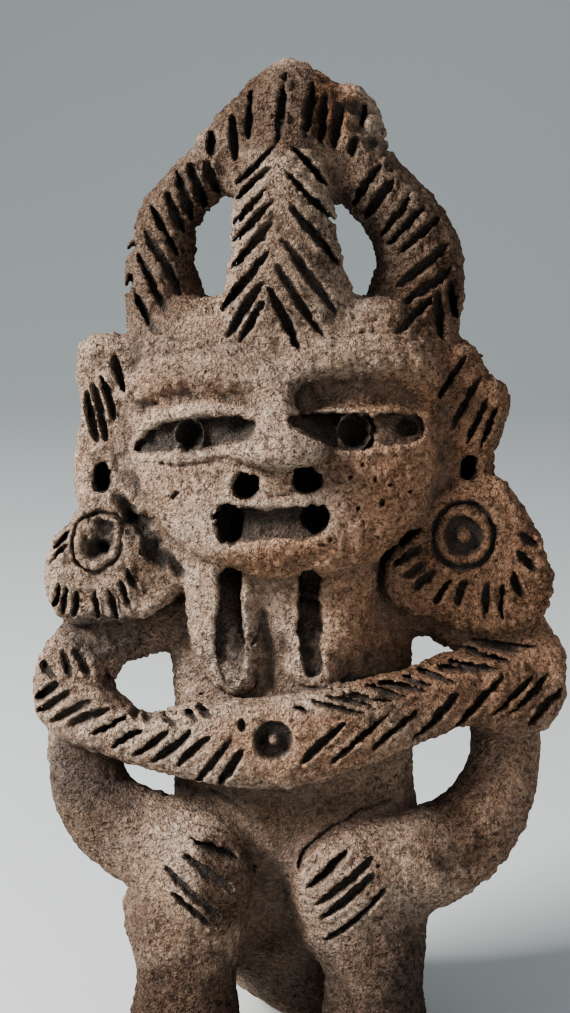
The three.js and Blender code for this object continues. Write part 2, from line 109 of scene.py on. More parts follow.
@dataclass(frozen=True)
class Shell:
    """A closed surface through rings of points."""

    points: Grid
    triangles: Grid

    @staticmethod
    def through(rings: Grid) -> "Shell":
        """Closes rings of points over both ends.

        Args:
            rings: points with the shape (rings, sides, 3).

        Returns:
            The closed surface.
        """
        count, sides, _ = rings.shape
        ends = rings[[0, -1]].mean(axis=1)
        points = np.concatenate([rings.reshape(-1, 3), ends]).astype(np.float32)
        side = np.arange(sides)
        after = (side + 1) % sides
        start = (np.arange(count - 1) * sides)[:, None]
        a, b = start + side, start + after
        walls = [np.stack([a, b, b + sides], -1), np.stack([a, b + sides, a + sides], -1)]
        last = (count - 1) * sides
        hub = np.full(sides, count * sides)
        caps = [np.stack([hub, after, side], -1), np.stack([hub + 1, last + side, last + after], -1)]
        parts = [part.reshape(-1, 3) for part in walls + caps]
        return Shell(points, np.concatenate(parts).astype(np.uint32))


def eased(knots: Grid, values: Grid, places: Grid) -> Grid:
    """A smooth curve through values.

    Args:
        knots: rising places of the values.
        values: one value or row of values for each knot.
        places: where the curve is read.

    Returns:
        The curve's value or row of values at each place.
    """
    knots = np.asarray(knots, float)
    values = np.asarray(values, float).reshape(len(knots), -1)
    slopes = np.gradient(values, knots, axis=0)
    i = np.clip(np.searchsorted(knots, places, side="right") - 1, 0, len(knots) - 2)
    span = (knots[i + 1] - knots[i])[:, None]
    t = (places - knots[i])[:, None] / span
    start, end = values[i], values[i + 1]
    rise = span * (slopes[i] * t * (1 - t) ** 2 - slopes[i + 1] * t**2 * (1 - t))
    return start + (end - start) * t * t * (3 - 2 * t) + rise


def centripetal(points: Grid, places: Grid) -> Grid:
    """An evenly tensioned curve through points.

    Args:
        points: the points that it runs through, one in each row.
        places: where the curve is read, counted in points from 0.

    Returns:
        The curve's point at each place.
    """
    points = np.asarray(points, float)
    extended = np.vstack([2 * points[0] - points[1], points, 2 * points[-1] - points[-2]])
    i = np.clip(np.floor(places).astype(int), 0, len(points) - 2)
    t = (places - i)[:, None]
    p0, p1, p2, p3 = (extended[i + k] for k in range(4))
    pairs = ((p0, p1), (p1, p2), (p2, p3))
    d0, d1, d2 = (np.sqrt(np.linalg.norm(q - p, axis=1))[:, None] for p, q in pairs)
    m1 = d1 * ((p1 - p0) / d0 - (p2 - p0) / (d0 + d1) + (p2 - p1) / d1)
    m2 = d1 * ((p2 - p1) / d1 - (p3 - p1) / (d1 + d2) + (p3 - p2) / d2)
    return (
        p1
        + m1 * t
        + (3 * (p2 - p1) - 2 * m1 - m2) * t**2
        + (2 * (p1 - p2) + m1 + m2) * t**3
    )


def squared_round(sides: int, square: float) -> tuple[Grid, Grid]:
    """A round between a circle and a square.

    Args:
        sides: points round it.
        square: 2 for a circle, and more for a squarer round.

    Returns:
        How far across and how far up each point is, from -1 to 1.
    """
    turn = np.linspace(0, 2 * math.pi, sides, endpoint=False)
    power = 2 / square
    cos, sin = (np.sign(wave) * np.abs(wave) ** power for wave in (np.cos(turn), np.sin(turn)))
    return cos, sin


def rounded(outline: tuple[Point2, ...], cuts: int = 6) -> Grid:
    """A closed outline with its corners rounded off.

    Args:
        outline: its corners as x, z.
        cuts: points on each side of the finished outline.

    Returns:
        The finished outline, one point in each row.
    """
    corners = np.asarray(outline, float)
    looped = np.vstack([corners[-2:], corners, corners[:3]])
    places = np.arange(len(corners) * cuts) / cuts + 2
    return centripetal(looped, places)


def outline_gap(outline: Grid, x: Grid, z: Grid) -> Grid:
    """Distance from a closed outline seen from the front.

    Args:
        outline: its points as x, z.
        x: places across.
        z: places upwards.

    Returns:
        The distance at each x and z, negative inside.
    """
    across, upward = x[:, None], z[None, :]
    nearest = np.full((len(x), len(z)), np.inf, np.float32)
    inside = np.zeros(nearest.shape, bool)
    for (ax, az), (bx, bz) in zip(outline, np.roll(outline, -1, axis=0)):
        ex, ez = bx - ax, bz - az
        wx, wz = across - ax, upward - az
        t = np.clip((wx * ex + wz * ez) / (ex * ex + ez * ez + 1e-9), 0, 1)
        nearest = np.minimum(nearest, (wx - ex * t) ** 2 + (wz - ez * t) ** 2)
        if az != bz:
            inside ^= ((az <= upward) != (bz <= upward)) & (wx < ex * wz / ez)
    return np.where(inside, -1, 1) * np.sqrt(nearest)


class Ripple:
    """Smooth unevenness in space that comes out the same each time."""

    def __init__(self, seed: int) -> None:
        """Draws the values at the corners of a repeating block."""
        self.corners = np.random.default_rng(seed).uniform(-1, 1, (32, 32, 32)).astype(np.float32)

    def at(self, points: Grid, size: float) -> Grid:
        """Reads the unevenness.

        Args:
            points: places in space, one in each row.
            size: width of its swellings.

        Returns:
            A value from -1 to 1 for each place.
        """
        place = points / size
        cell = np.floor(place).astype(np.int32)
        t = place - cell
        t = t * t * (3 - 2 * t)
        total = np.zeros(len(points), np.float32)
        for corner in np.ndindex(2, 2, 2):
            weight = np.prod(np.where(corner, t, 1 - t), axis=1)
            total += weight * self.corners[tuple(((cell + corner) & 31).T)]
        return total

    def across(self, x: Grid, z: Grid, size: float) -> Grid:
        """Reads the unevenness over a patch of the front view.

        Args:
            x: places across, in a column.
            z: places upwards, in a row.
            size: width of its swellings.

        Returns:
            A value from -1 to 1 for each x and z.
        """
        wide, tall = np.broadcast_arrays(x, z)
        places = np.stack([wide, np.zeros_like(wide), tall], -1).reshape(-1, 3)
        return self.at(places, size).reshape(wide.shape)


@dataclass
class ClayBlock:
    """The clay as distances to its surface on an even grid, negative inside, in millimetres."""

    low: Point3 = (-58.0, -41.0, -9.0)
    high: Point3 = (58.0, 33.0, 210.0)
    grain: float = 0.36
    band: float = 4.0
    spread: int = 16
    reach: float = 7.0
    burr_fades: float = 0.15

    def __post_init__(self) -> None:
        """Starts with no clay and no relief."""
        pairs = zip(self.low, self.high)
        self.axes = [np.arange(start, end, self.grain, dtype=np.float32) for start, end in pairs]
        self.gap = np.full([len(axis) for axis in self.axes], self.band, np.float32)
        flat = (len(self.axes[0]), len(self.axes[2]))
        self.front = np.zeros(flat, np.float32)
        self.relief = np.zeros(flat, np.float32)
        self.burr = np.zeros(flat, np.float32)
        # Where holes, windows and pressed rings are painted dark inside: grime, and painted shade.
        self.hollowed = np.zeros(flat, np.float32)

    def region(self, low: Grid, high: Grid) -> Region:
        """The grid's slices that cover a box."""
        ends = [np.searchsorted(axis, pair) for axis, pair in zip(self.axes, zip(low, high))]
        return tuple(slice(max(a - 1, 0), min(b + 1, len(axis))) for (a, b), axis in zip(ends, self.axes))

    def patch(self, low: Point2, high: Point2) -> tuple[tuple[slice, slice], Grid, Grid]:
        """The front view's slices from low to high, given as x and z, and the places along each."""
        across, _, upward = self.region((low[0], 0, low[1]), (high[0], 0, high[1]))
        return (across, upward), self.axes[0][across], self.axes[2][upward]

    def transform(self) -> openvdb.Transform:
        """The grid's spacing."""
        return openvdb.createLinearTransform(self.grain)

    def around(self, shell: Shell) -> tuple[Region, Grid]:
        """Distances from a closed surface.

        Args:
            shell: the surface.

        Returns:
            The region that it reaches and the distances there.
        """
        points = np.ascontiguousarray(shell.points - np.float32(self.low))
        width = self.band / self.grain
        grid = openvdb.FloatGrid.createLevelSetFromPolygons(
            points, triangles=shell.triangles, transform=self.transform(), halfWidth=width
        )
        low, high = shell.points.min(axis=0), shell.points.max(axis=0)
        region = self.region(low - self.band, high + self.band)
        values = np.empty([part.stop - part.start for part in region], np.float32)
        grid.copyToArray(values, ijk=tuple(part.start for part in region))
        return region, values

    def press(self, region: Region, values: Grid, joint: Joint) -> None:
        """Presses a piece on, smearing the clay over its joint.

        Args:
            region: where the piece reaches.
            values: distances from the piece there.
            joint: how far the clay is smeared.
        """
        here = self.gap[region]
        mix = np.clip(joint.value - np.abs(here - values), 0, None)
        self.gap[region] = np.minimum(here, values) - mix * mix / (4 * joint.value)

    def cut(self, region: Region, values: Grid, edge: float) -> None:
        """Cuts a space out, easing its edge.

        Args:
            region: where the space reaches.
            values: distances from the space there, negative inside it.
            edge: how far the edge is eased.
        """
        here = self.gap[region]
        mix = np.clip(edge - np.abs(here + values), 0, None)
        self.gap[region] = np.maximum(here, -values) + mix * mix / (4 * edge)

    def skin(self) -> tuple[Grid, Grid]:
        """Skins the clay.

        Returns:
            The surface's points and its four-sided faces.
        """
        grid = openvdb.FloatGrid(self.band)
        grid.copyFromArray(self.gap)
        grid.transform = self.transform()
        points, quads = grid.convertToQuads(0.0)
        return points + np.float32(self.low), quads

    def settle(self) -> None:
        """Measures every distance anew, and finds the front of the surface."""
        points, quads = self.skin()
        grid = openvdb.FloatGrid.createLevelSetFromPolygons(
            np.ascontiguousarray(points - np.float32(self.low)),
            quads=quads,
            transform=self.transform(),
            halfWidth=self.band / self.grain,
        )
        grid.copyToArray(self.gap)
        self.find_front()

    def find_front(self) -> None:
        """Finds the depth where a straight press from the front meets the clay."""
        inside = self.gap < 0
        met = inside.any(axis=1)
        first = np.clip(inside.argmax(axis=1), 1, None)[:, None, :]
        here = np.take_along_axis(self.gap, first, 1)[:, 0]
        before = np.take_along_axis(self.gap, first - 1, 1)[:, 0]
        part = here / np.where(met, here - before, 1)
        front = np.where(met, self.axes[1][first[:, 0]] - self.grain * part, 0)
        known = met.astype(np.float32)
        for _ in range(self.spread):
            sums, weights = np.zeros_like(front), np.zeros_like(known)
            for axis, step in ((0, 1), (0, -1), (1, 1), (1, -1)):
                sums += np.roll(front * known, step, axis)
                weights += np.roll(known, step, axis)
            reached = (known == 0) & (weights > 0)
            front = np.where(reached, sums / np.maximum(weights, 1), front)
            known = np.maximum(known, reached)
        self.front = front.astype(np.float32)

    def front_at(self, x: float, z: float) -> float:
        """Finds how deep the front surface lies.

        Args:
            x: the place across.
            z: the place upwards.

        Returns:
            The depth there.
        """
        i = int(round((x - self.low[0]) / self.grain))
        k = int(round((z - self.low[2]) / self.grain))
        return float(self.front[i, k])

    def even_front(self, radius: float) -> Grid:
        """The front surface with everything narrower than twice the radius levelled out."""
        return blurred(self.front, radius / self.grain)

    def impress(self) -> None:
        """Presses the gathered relief into the front, and into nothing that lies far behind it."""
        height = self.relief - self.burr * np.exp(-self.relief / self.burr_fades)
        for j, y in enumerate(self.axes[1]):
            self.gap[:, j] += height * np.clip(1 + self.reach - (y - self.front), 0, 1)


def blurred(values: Grid, radius: float) -> Grid:
    """Values averaged over a box round each place.

    Args:
        values: a grid of any number of axes.
        radius: half the box's width, in grid steps.

    Returns:
        The averaged grid.
    """
    reach = max(int(round(radius)), 1)
    result = values.astype(np.float32)
    for axis in range(values.ndim):
        padding = [(reach + 1, reach) if a == axis else (0, 0) for a in range(values.ndim)]
        sums = np.cumsum(np.pad(result, padding, mode="edge"), axis=axis, dtype=np.float64)
        upper = np.take(sums, range(2 * reach + 1, sums.shape[axis]), axis)
        lower = np.take(sums, range(sums.shape[axis] - 2 * reach - 1), axis)
        result = ((upper - lower) / (2 * reach + 1)).astype(np.float32)
    return result


def step(values: Grid, low: float, high: float) -> Grid:
    """A soft step of the values, 0 at low and 1 at high."""
    t = np.clip((values - low) / (high - low), 0, 1)
    return t * t * (3 - 2 * t)


@dataclass(frozen=True)
class Mass:
    """A mass of clay through level rounds, each z, centre x, centre y, half width and half depth."""

    rounds: tuple[tuple[float, float, float, float, float], ...]
    square: float = 2.3
    joint: Joint = Joint.MERGED
    sides: int = 96
    step: float = 0.8

    def press_on(self, clay: ClayBlock) -> None:
        """Presses the mass onto the clay.

        Args:
            clay: what it is pressed onto.
        """
        rows = np.array(self.rounds)
        levels = np.arange(rows[0, 0], rows[-1, 0], self.step)
        sizes = eased(rows[:, 0], rows[:, 1:], levels)
        cos, sin = squared_round(self.sides, self.square)
        x = sizes[:, 0:1] + sizes[:, 2:3] * cos
        y = sizes[:, 1:2] + sizes[:, 3:4] * sin
        z = np.repeat(levels[:, None], self.sides, axis=1)
        clay.press(*clay.around(Shell.through(np.stack([x, y, z], -1))), self.joint)


@dataclass(frozen=True)
class Ball:
    """A ball of clay pressed to an oval."""

    at: Point3
    half: Point3
    joint: Joint = Joint.PRESSED
    sides: int = 48
    rings: int = 32
    tip: float = 0.04

    def shell(self) -> Shell:
        """Rounds the ball.

        Returns:
            Its closed surface.
        """
        turn = np.linspace(0, 2 * math.pi, self.sides, endpoint=False)
        rings = []
        for tilt in np.linspace(self.tip, math.pi - self.tip, self.rings):
            level = np.full(self.sides, np.cos(tilt))
            ring = [np.sin(tilt) * np.cos(turn), np.sin(tilt) * np.sin(turn), level]
            rings.append(np.stack(ring, -1) * self.half + self.at)
        return Shell.through(np.array(rings))

    def press_on(self, clay: ClayBlock) -> None:
        """Presses the ball onto the clay."""
        clay.press(*clay.around(self.shell()), self.joint)

    def scoop_out(self, clay: ClayBlock, edge: float) -> None:
        """Scoops the oval out of the clay."""
        clay.cut(*clay.around(self.shell()), edge)


@dataclass(frozen=True)
class Coil:
    """A rolled coil of clay: the points it runs through, its half widths and its half depths."""

    path: tuple[Point3, ...]
    wide: tuple[float, ...]
    deep: tuple[float, ...]
    joint: Joint = Joint.PRESSED
    square: float = 2.0
    sides: int = 40
    per_span: int = 10
    dome: tuple[float, ...] = (0.35, 0.7, 1.05, 1.4)

    def shell(self) -> Shell:
        """Rolls the coil's closed surface, with domed ends.

        Returns:
            The surface.
        """
        spans = len(self.path) - 1
        places = np.linspace(0, spans, spans * self.per_span + 1)
        centre = centripetal(np.array(self.path), places)
        along = np.gradient(centre, axis=0)
        along /= np.linalg.norm(along, axis=1, keepdims=True)
        across = np.cross((0.0, 1.0, 0.0), along)
        across /= np.linalg.norm(across, axis=1, keepdims=True)
        outward = np.cross(along, across)
        knots = np.arange(spans + 1)
        wide = across * np.interp(places, knots, self.wide)[:, None]
        deep = outward * np.interp(places, knots, self.deep)[:, None]
        rings = [self.ring(*ring) for ring in zip(centre, wide, deep)]
        first = [self.dome_ring(centre[0], -along[0], wide[0], deep[0], tilt) for tilt in self.dome]
        last = [self.dome_ring(centre[-1], along[-1], wide[-1], deep[-1], tilt) for tilt in self.dome]
        return Shell.through(np.array(first[::-1] + rings + last))

    def ring(self, middle: Grid, across: Grid, outward: Grid) -> Grid:
        """Draws one rounded ring round the coil.

        Args:
            middle: its centre.
            across: its half width as a vector.
            outward: its half depth as a vector.

        Returns:
            The ring's points.
        """
        cos, sin = squared_round(self.sides, self.square)
        return middle + across * cos[:, None] + outward * sin[:, None]

    def dome_ring(self, end: Grid, way: Grid, across: Grid, outward: Grid, tilt: float) -> Grid:
        """One ring of the dome that closes an end, tilt being how far round the dome it is."""
        middle = end + way * np.linalg.norm(across) * math.sin(tilt)
        return self.ring(middle, across * math.cos(tilt), outward * math.cos(tilt))

    def press_on(self, clay: ClayBlock) -> None:
        """Presses the coil onto the clay."""
        clay.press(*clay.around(self.shell()), self.joint)

    def scoop_out(self, clay: ClayBlock, edge: float) -> None:
        """Scoops a trough of the coil's shape out of the clay."""
        clay.cut(*clay.around(self.shell()), edge)


@dataclass(frozen=True)
class Slab:
    """A flat slab of clay with rounded edges: its outline as x, z, its front face and its thickness."""

    outline: tuple[Point2, ...]
    front: float
    thick: float
    soft: float = 3.4
    joint: Joint = Joint.PRESSED

    def press_on(self, clay: ClayBlock) -> None:
        """Presses the slab onto the clay.

        Args:
            clay: what it is pressed onto.
        """
        edge = rounded(self.outline)
        low = (edge[:, 0].min(), self.front, edge[:, 1].min())
        high = (edge[:, 0].max(), self.front + self.thick, edge[:, 1].max())
        region = clay.region(np.array(low) - clay.band, np.array(high) + clay.band)
        x, y, z = (axis[part] for axis, part in zip(clay.axes, region))
        inward = outline_gap(edge, x, z)[:, None, :] + self.soft
        depth = (np.abs(y - self.front - self.thick / 2) - self.thick / 2 + self.soft)[None, :, None]
        outside = np.sqrt(np.clip(inward, 0, None) ** 2 + np.clip(depth, 0, None) ** 2)
        values = outside + np.minimum(np.maximum(inward, depth), 0) - self.soft
        clay.press(region, values.astype(np.float32), self.joint)


@dataclass(frozen=True)
class Poke:
    """A hole poked straight in with a round stick: place, half width, half height and depth."""

    at: Point2
    half: Point2
    depth: float
    rim: float = 0.2
    rim_out: float = 0.5
    edge: float = 0.7
    margin: float = 3.0
    room: float = 9.0

    def open(self, clay: ClayBlock) -> None:
        """Pokes the hole, pushing up a thin rim round its mouth.

        Args:
            clay: the block that it is poked into.
        """
        reach = max(self.half) + self.margin
        low, high = ([c + way * reach for c in self.at] for way in (-1, 1))
        front = clay.front_at(*self.at)
        near, far = front - self.room, front + self.depth + self.margin
        region = clay.region((low[0], near, low[1]), (high[0], far, high[1]))
        x, y, z = (axis[part] for axis, part in zip(clay.axes, region))
        size = min(self.half)
        past = np.clip(y - front - self.depth + size, 0, None)[None, :, None] / size
        flat = self.out_from(x, z)[:, None, :]
        clay.cut(region, ((np.hypot(flat, past) - 1) * size).astype(np.float32), self.edge)
        window, x, z = clay.patch(low, high)
        beyond = (self.out_from(x, z) - 1) * size
        rim = self.rim * np.exp(-(((beyond - self.rim_out) / self.rim_out) ** 2))
        clay.burr[window] = np.maximum(clay.burr[window], rim)
        # Darkens the hole's mouth with grime and painted shade.
        clay.hollowed[window] = np.maximum(clay.hollowed[window], np.clip(0.7 - beyond * 1.6, 0, 1))

    def out_from(self, x: Grid, z: Grid) -> Grid:
        """How far places are from the hole's middle, its wall being 1."""
        across, upward = x[:, None] - self.at[0], z[None, :] - self.at[1]
        return np.hypot(across / self.half[0], upward / self.half[1])


@dataclass(frozen=True)
class Window:
    """A window cut in the clay: its outline as x, z, and how deep its top, its foot and its edge go."""

    outline: tuple[Point2, ...]
    top: float
    foot: float
    edge: float = 0.6
    # How dark the inside is painted, for grime and painted shade.
    stain_and_shade: float = 0.8
    pupil: Poke | None = None
    rim: float = 0.3
    low_rim: float = 0.8
    even: float = 1.5
    margin: float = 2.0
    room: Point2 = (6.0, 4.0)

    def open(self, clay: ClayBlock) -> None:
        """Cuts the window with its floor following the curved face, leaving a rim round its pupil.

        Args:
            clay: the block that it is cut into.
        """
        edge = rounded(self.outline)
        low, high = edge.min(axis=0) - self.margin, edge.max(axis=0) + self.margin
        window, x, z = clay.patch(low, high)
        gap = outline_gap(edge, x, z)
        inside = np.clip(0.6 - gap * 1.6, 0, 1)
        if self.pupil:
            wall = np.abs(self.pupil.out_from(x, z) - 1) * min(self.pupil.half) - self.rim
            gap = np.maximum(gap, -wall)
        foot, top = edge[:, 1].min(), edge[:, 1].max()
        rise = np.clip((z - foot) / (top - foot), 0, 1)[None, :]
        depth = self.foot + (self.top - self.foot) * rise
        floor = clay.even_front(self.even)[window] + depth
        near, far = clay.front[window].min() - self.room[0], floor.max() + self.room[1]
        region = clay.region((low[0], near, low[1]), (high[0], far, high[1]))
        y = clay.axes[1][region[1]]
        values = np.maximum(gap[:, None, :], y[None, :, None] - floor[:, None, :])
        clay.cut(region, values.astype(np.float32), self.edge)
        if self.pupil:
            sunk = clay.even_front(self.even)[window] + self.low_rim
            values = np.maximum(outline_gap(edge, x, z)[:, None, :], y[None, :, None] - sunk[:, None, :])
            clay.cut(region, values.astype(np.float32), self.edge)
        # Grime and painted shade inside the window, darker where it is cut deeper.
        dark = self.stain_and_shade * inside * step(depth, 0.2, 2.6)
        clay.hollowed[window] = np.maximum(clay.hollowed[window], dark)
        if self.pupil:
            self.pupil.open(clay)


@dataclass(frozen=True)
class Ring:
    """A ring pressed with a tube: centre, groove radii, pit and button radii, stretch and turn."""

    at: Point2
    groove: Point2 | None
    pit: float
    button: float = 0.0
    stretch: float = 1.0
    turn: float = 0.0
    deep: float = 2.0
    rough: float = 0.3
    # How dark the groove and pit are painted, for grime and painted shade.
    stain_and_shade: float = 0.9
    wobble: float = 2.6
    seed: int = 5
    rim: float = 0.2
    margin: float = 2.0

    def score(self, clay: ClayBlock) -> None:
        """Presses the groove and the pit into the front.

        Args:
            clay: the block that they are pressed into.
        """
        reach = (self.groove[1] if self.groove else self.pit) * self.stretch + self.margin
        window, x, z = clay.patch([c - reach for c in self.at], [c + reach for c in self.at])
        dx, dz = x[:, None] - self.at[0], z[None, :] - self.at[1]
        cos, sin = math.cos(self.turn), math.sin(self.turn)
        across, upward = dx * cos + dz * sin, (dz * cos - dx * sin) / self.stretch
        wobble = Ripple(self.seed).across(dx + self.at[0], dz + self.at[1], self.wobble)
        r = np.hypot(across, upward) + self.rough * 0.6 * wobble
        depth = np.clip((self.pit - r) / 0.7, 0, 1)
        if self.button:
            depth *= 1 - 0.75 * np.clip((self.button - r) / 0.8, 0, 1)
        depth *= 1 + self.rough * wobble
        if self.groove:
            inner, outer = self.groove
            middle, half = (inner + outer) / 2, (outer - inner) / 2
            depth = np.maximum(depth, 0.8 * np.clip(1.25 - 1.25 * ((r - middle) / half) ** 2, 0, 1))
        clay.relief[window] = np.maximum(clay.relief[window], self.deep * depth)
        # Grime and painted shade in the groove and the pit.
        clay.hollowed[window] = np.maximum(clay.hollowed[window], self.stain_and_shade * np.clip(depth, 0, 1))
        rim = self.rim * np.exp(-(((r - self.pit - 0.6) / 0.5) ** 2))
        clay.burr[window] = np.maximum(clay.burr[window], rim)


@dataclass(frozen=True)
class Stroke:
    """One mark of a tool, from start to end as x, z, with its half width, depth and sideways bend."""

    start: Point2
    end: Point2
    half: float = 0.85
    depth: float = 2.0
    bend: float = 0.0
    tool: Tool = Tool.BLADE
    margin: float = 1.2
    jag: float = 1.1
    jagged: float = 0.22
    burr_out: float = 0.3
    burr_wide: float = 0.42

    def score(self, clay: ClayBlock) -> None:
        """Gathers the mark and its burr into the front's relief.

        Args:
            clay: the block that it is scored into.
        """
        square, taper, lift = self.tool.value
        start, end = np.array(self.start, float), np.array(self.end, float)
        along = end - start
        length = float(np.linalg.norm(along)) + 1e-6
        margin = self.half * 2 + self.margin + abs(self.bend)
        low, high = np.minimum(start, end) - margin, np.maximum(start, end) + margin
        window, x, z = clay.patch(low, high)
        dx, dz = x[:, None] - start[0], z[None, :] - start[1]
        t = (dx * along[0] + dz * along[1]) / length**2
        aside = (dz * along[0] - dx * along[1]) / length - self.bend * (1 - (2 * t - 1) ** 2)
        ragged = Ripple(int(abs(start[0] * 7 + start[1] * 3))).across(dx, dz, self.jag)
        ends = np.clip(np.sin(math.pi * np.clip(t, 0, 1)), 1e-6, 1) ** taper
        width = self.half * (ends + self.jagged * ragged) + 0.02
        beyond = np.maximum(-t, t - 1) * length
        off = np.abs(aside) / np.clip(width, 0.05, None)
        wall = np.clip(1.5 - 1.5 * off**square, 0, 1) * (beyond < 0)
        clay.relief[window] = np.maximum(clay.relief[window], self.depth * ends * wall)
        outer = np.hypot(np.abs(aside) - width - self.burr_out, np.clip(beyond, 0, None))
        ridge = lift * np.exp(-((outer / self.burr_wide) ** 2)) * np.clip(0.75 + ragged, 0, 1.4)
        clay.burr[window] = np.maximum(clay.burr[window], ridge)


@dataclass(frozen=True)
class Marks:
    """A row of marks scored by hand, with where each starts and ends as x, z."""

    starts: tuple[Point2, ...]
    ends: tuple[Point2, ...]
    half: float = 0.9
    depth: float = 2.2
    tool: Tool = Tool.BLADE
    seed: int = 1

    def score(self, clay: ClayBlock) -> None:
        """Scores each mark of the row, a little uneven as by hand.

        Args:
            clay: the block that they are scored into.
        """
        luck = np.random.default_rng(self.seed)
        for start, end in zip(self.starts, self.ends):
            wider, deeper = luck.uniform(0.85, 1.15, 2)
            bend = luck.normal(0, 0.22)
            Stroke(start, end, self.half * wider, self.depth * deeper, bend, self.tool).score(clay)


@dataclass(frozen=True)
class Nicks:
    """Short slits scattered by hand round places given as x, z."""

    places: tuple[Point2, ...]
    long: float = 1.5
    half: float = 0.38
    lean: float = 0.9
    seed: int = 31

    def score(self, clay: ClayBlock) -> None:
        """Scores each slit, all leaning about the same way.

        Args:
            clay: the block that they are scored into.
        """
        luck = np.random.default_rng(self.seed)
        for place in self.places:
            turn = self.lean + luck.normal(0, 0.45)
            reach = self.long / 2 * luck.uniform(0.6, 1.3)
            way = np.array([math.cos(turn), math.sin(turn)]) * reach
            Stroke(tuple(place - way), tuple(place + way), self.half, 1.1).score(clay)


@dataclass(frozen=True)
class Crack:
    """A thin crack or crease: the points it runs through as x, z, with its half width and depth."""

    path: tuple[Point2, ...]
    half: float = 0.35
    depth: float = 0.9
    wander: float = 0.35
    sway: float = 3.0
    seeds: tuple[int, int] = (8, 9)
    per_point: int = 12
    margin: float = 2.0

    def score(self, clay: ClayBlock) -> None:
        """Gathers the crack into the front's relief.

        Args:
            clay: the block that it runs across.
        """
        points = np.array(self.path, float)
        curve = centripetal(points, np.linspace(0, len(points) - 1, self.per_point * len(points)))
        spread = np.column_stack([curve, np.zeros(len(curve))])
        sways = [Ripple(seed).at(spread, self.sway) for seed in self.seeds]
        curve = curve + self.wander * np.column_stack(sways)
        window, x, z = clay.patch(curve.min(axis=0) - self.margin, curve.max(axis=0) + self.margin)
        nearest = np.full((len(x), len(z)), np.inf, np.float32)
        place = np.zeros_like(nearest)
        for i, (a, b) in enumerate(zip(curve[:-1], curve[1:])):
            e = b - a
            wx, wz = x[:, None] - a[0], z[None, :] - a[1]
            t = np.clip((wx * e[0] + wz * e[1]) / (e @ e + 1e-9), 0, 1)
            gap = np.hypot(wx - e[0] * t, wz - e[1] * t)
            place = np.where(gap < nearest, (i + t) / (len(curve) - 1), place)
            nearest = np.minimum(nearest, gap)
        fade = np.clip(np.sin(math.pi * np.clip(place, 0, 1)) * 3, 0, 1)
        depth = self.depth * fade * np.clip(1 - (nearest / self.half) ** 2, 0, 1)
        clay.relief[window] = np.maximum(clay.relief[window], depth)


@dataclass(frozen=True)
class Crumble:
    """A patch of broken, crumbly clay: centre and half sizes as x, z, and how deep it is broken."""

    at: Point2
    half: Point2
    depth: float = 0.9
    sizes: tuple[float, ...] = (3.6, 1.9, 1.1)
    seed: int = 41

    def score(self, clay: ClayBlock) -> None:
        """Gathers the broken lumps and pits into the front's relief.

        Args:
            clay: the block whose surface is broken.
        """
        reach = np.array(self.half) * 1.3
        window, x, z = clay.patch(self.at - reach, self.at + reach)
        dx, dz = (x[:, None] - self.at[0]) / self.half[0], (z[None, :] - self.at[1]) / self.half[1]
        lumps = np.zeros((len(x), len(z)))
        for i, size in enumerate(self.sizes):
            lumps += Ripple(self.seed + i).across(x[:, None], z[None, :], size) / (1 + i)
        inside = step(1.25 - np.hypot(dx, dz) + 0.3 * lumps, 0, 0.6)
        clay.relief[window] += self.depth * inside * lumps


class Portion:
    """A part of the figure that is modelled, pierced and scored in turn."""

    def model(self, clay: ClayBlock) -> None:
        """Presses its masses on."""

    def pierce(self, clay: ClayBlock) -> None:
        """Cuts its holes and windows."""

    def score(self, clay: ClayBlock) -> None:
        """Scores its tool marks and cracks."""


@dataclass(frozen=True)
class Trunk(Portion):
    """The trunk, the two short legs, the thighs and the round seat behind them."""

    trunk: Mass = Mass(
        rounds=(
            (12, 1.5, 9, 9, 7),
            (19, 0.5, 5, 16, 12),
            (27, 0.5, 1.5, 22, 16),
            (37, 1.5, 0, 27, 17.5),
            (48, 2, -0.5, 26.5, 18.5),
            (60, 1.7, -1, 25.3, 19),
            (74, 1.6, -1, 25.2, 17.5),
            (88, 1.4, 0, 25, 16),
            (104, 0.9, 0, 23, 15),
            (118, 0.5, 2, 20, 12),
        ),
        square=2.2,
    )
    legs: tuple[Mass, ...] = (
        Mass(
            rounds=(
                (-6, -21.6, -19.5, 11.6, 14),
                (2, -21.4, -19.5, 12, 14),
                (11, -21, -19, 11.4, 12.5),
                (18, -20.8, -18.5, 10.2, 11),
                (30, -20.7, -17, 10.6, 11.5),
                (40, -20, -13, 10, 11),
            ),
            square=2.4,
        ),
        Mass(
            rounds=(
                (-6, 18.8, -19.5, 11, 14),
                (2, 18.6, -19.5, 11.2, 14),
                (11, 18.3, -19, 10.6, 12.5),
                (18, 18.2, -18.5, 9.7, 11),
                (30, 17.9, -17, 10.6, 11.5),
                (40, 16, -13, 11, 11),
            ),
            square=2.4,
        ),
    )
    seat: Mass = Mass(
        rounds=(
            (-1, 10.5, 15.5, 10, 8),
            (2.5, 9, 15.5, 13.8, 10.6),
            (8, 6.4, 15, 18.2, 13.3),
            (16, 4.6, 14, 21, 15),
            (28, 3.4, 10.5, 22, 14),
            (42, 2.5, 5, 21, 11),
        ),
        square=2.2,
    )
    thighs: tuple[Ball, ...] = (
        Ball((-21.3, -12, 33), (12.8, 15.5, 10.6), Joint.SMEARED),
        Ball((15.2, -12, 36.5), (14.6, 15.5, 16), Joint.SMEARED),
    )

    def model(self, clay: ClayBlock) -> None:
        """Presses the trunk, legs, seat and thighs together.

        Args:
            clay: the block that they are pressed into.
        """
        self.trunk.press_on(clay)
        for mass in (*self.legs, self.seat, *self.thighs):
            mass.press_on(clay)


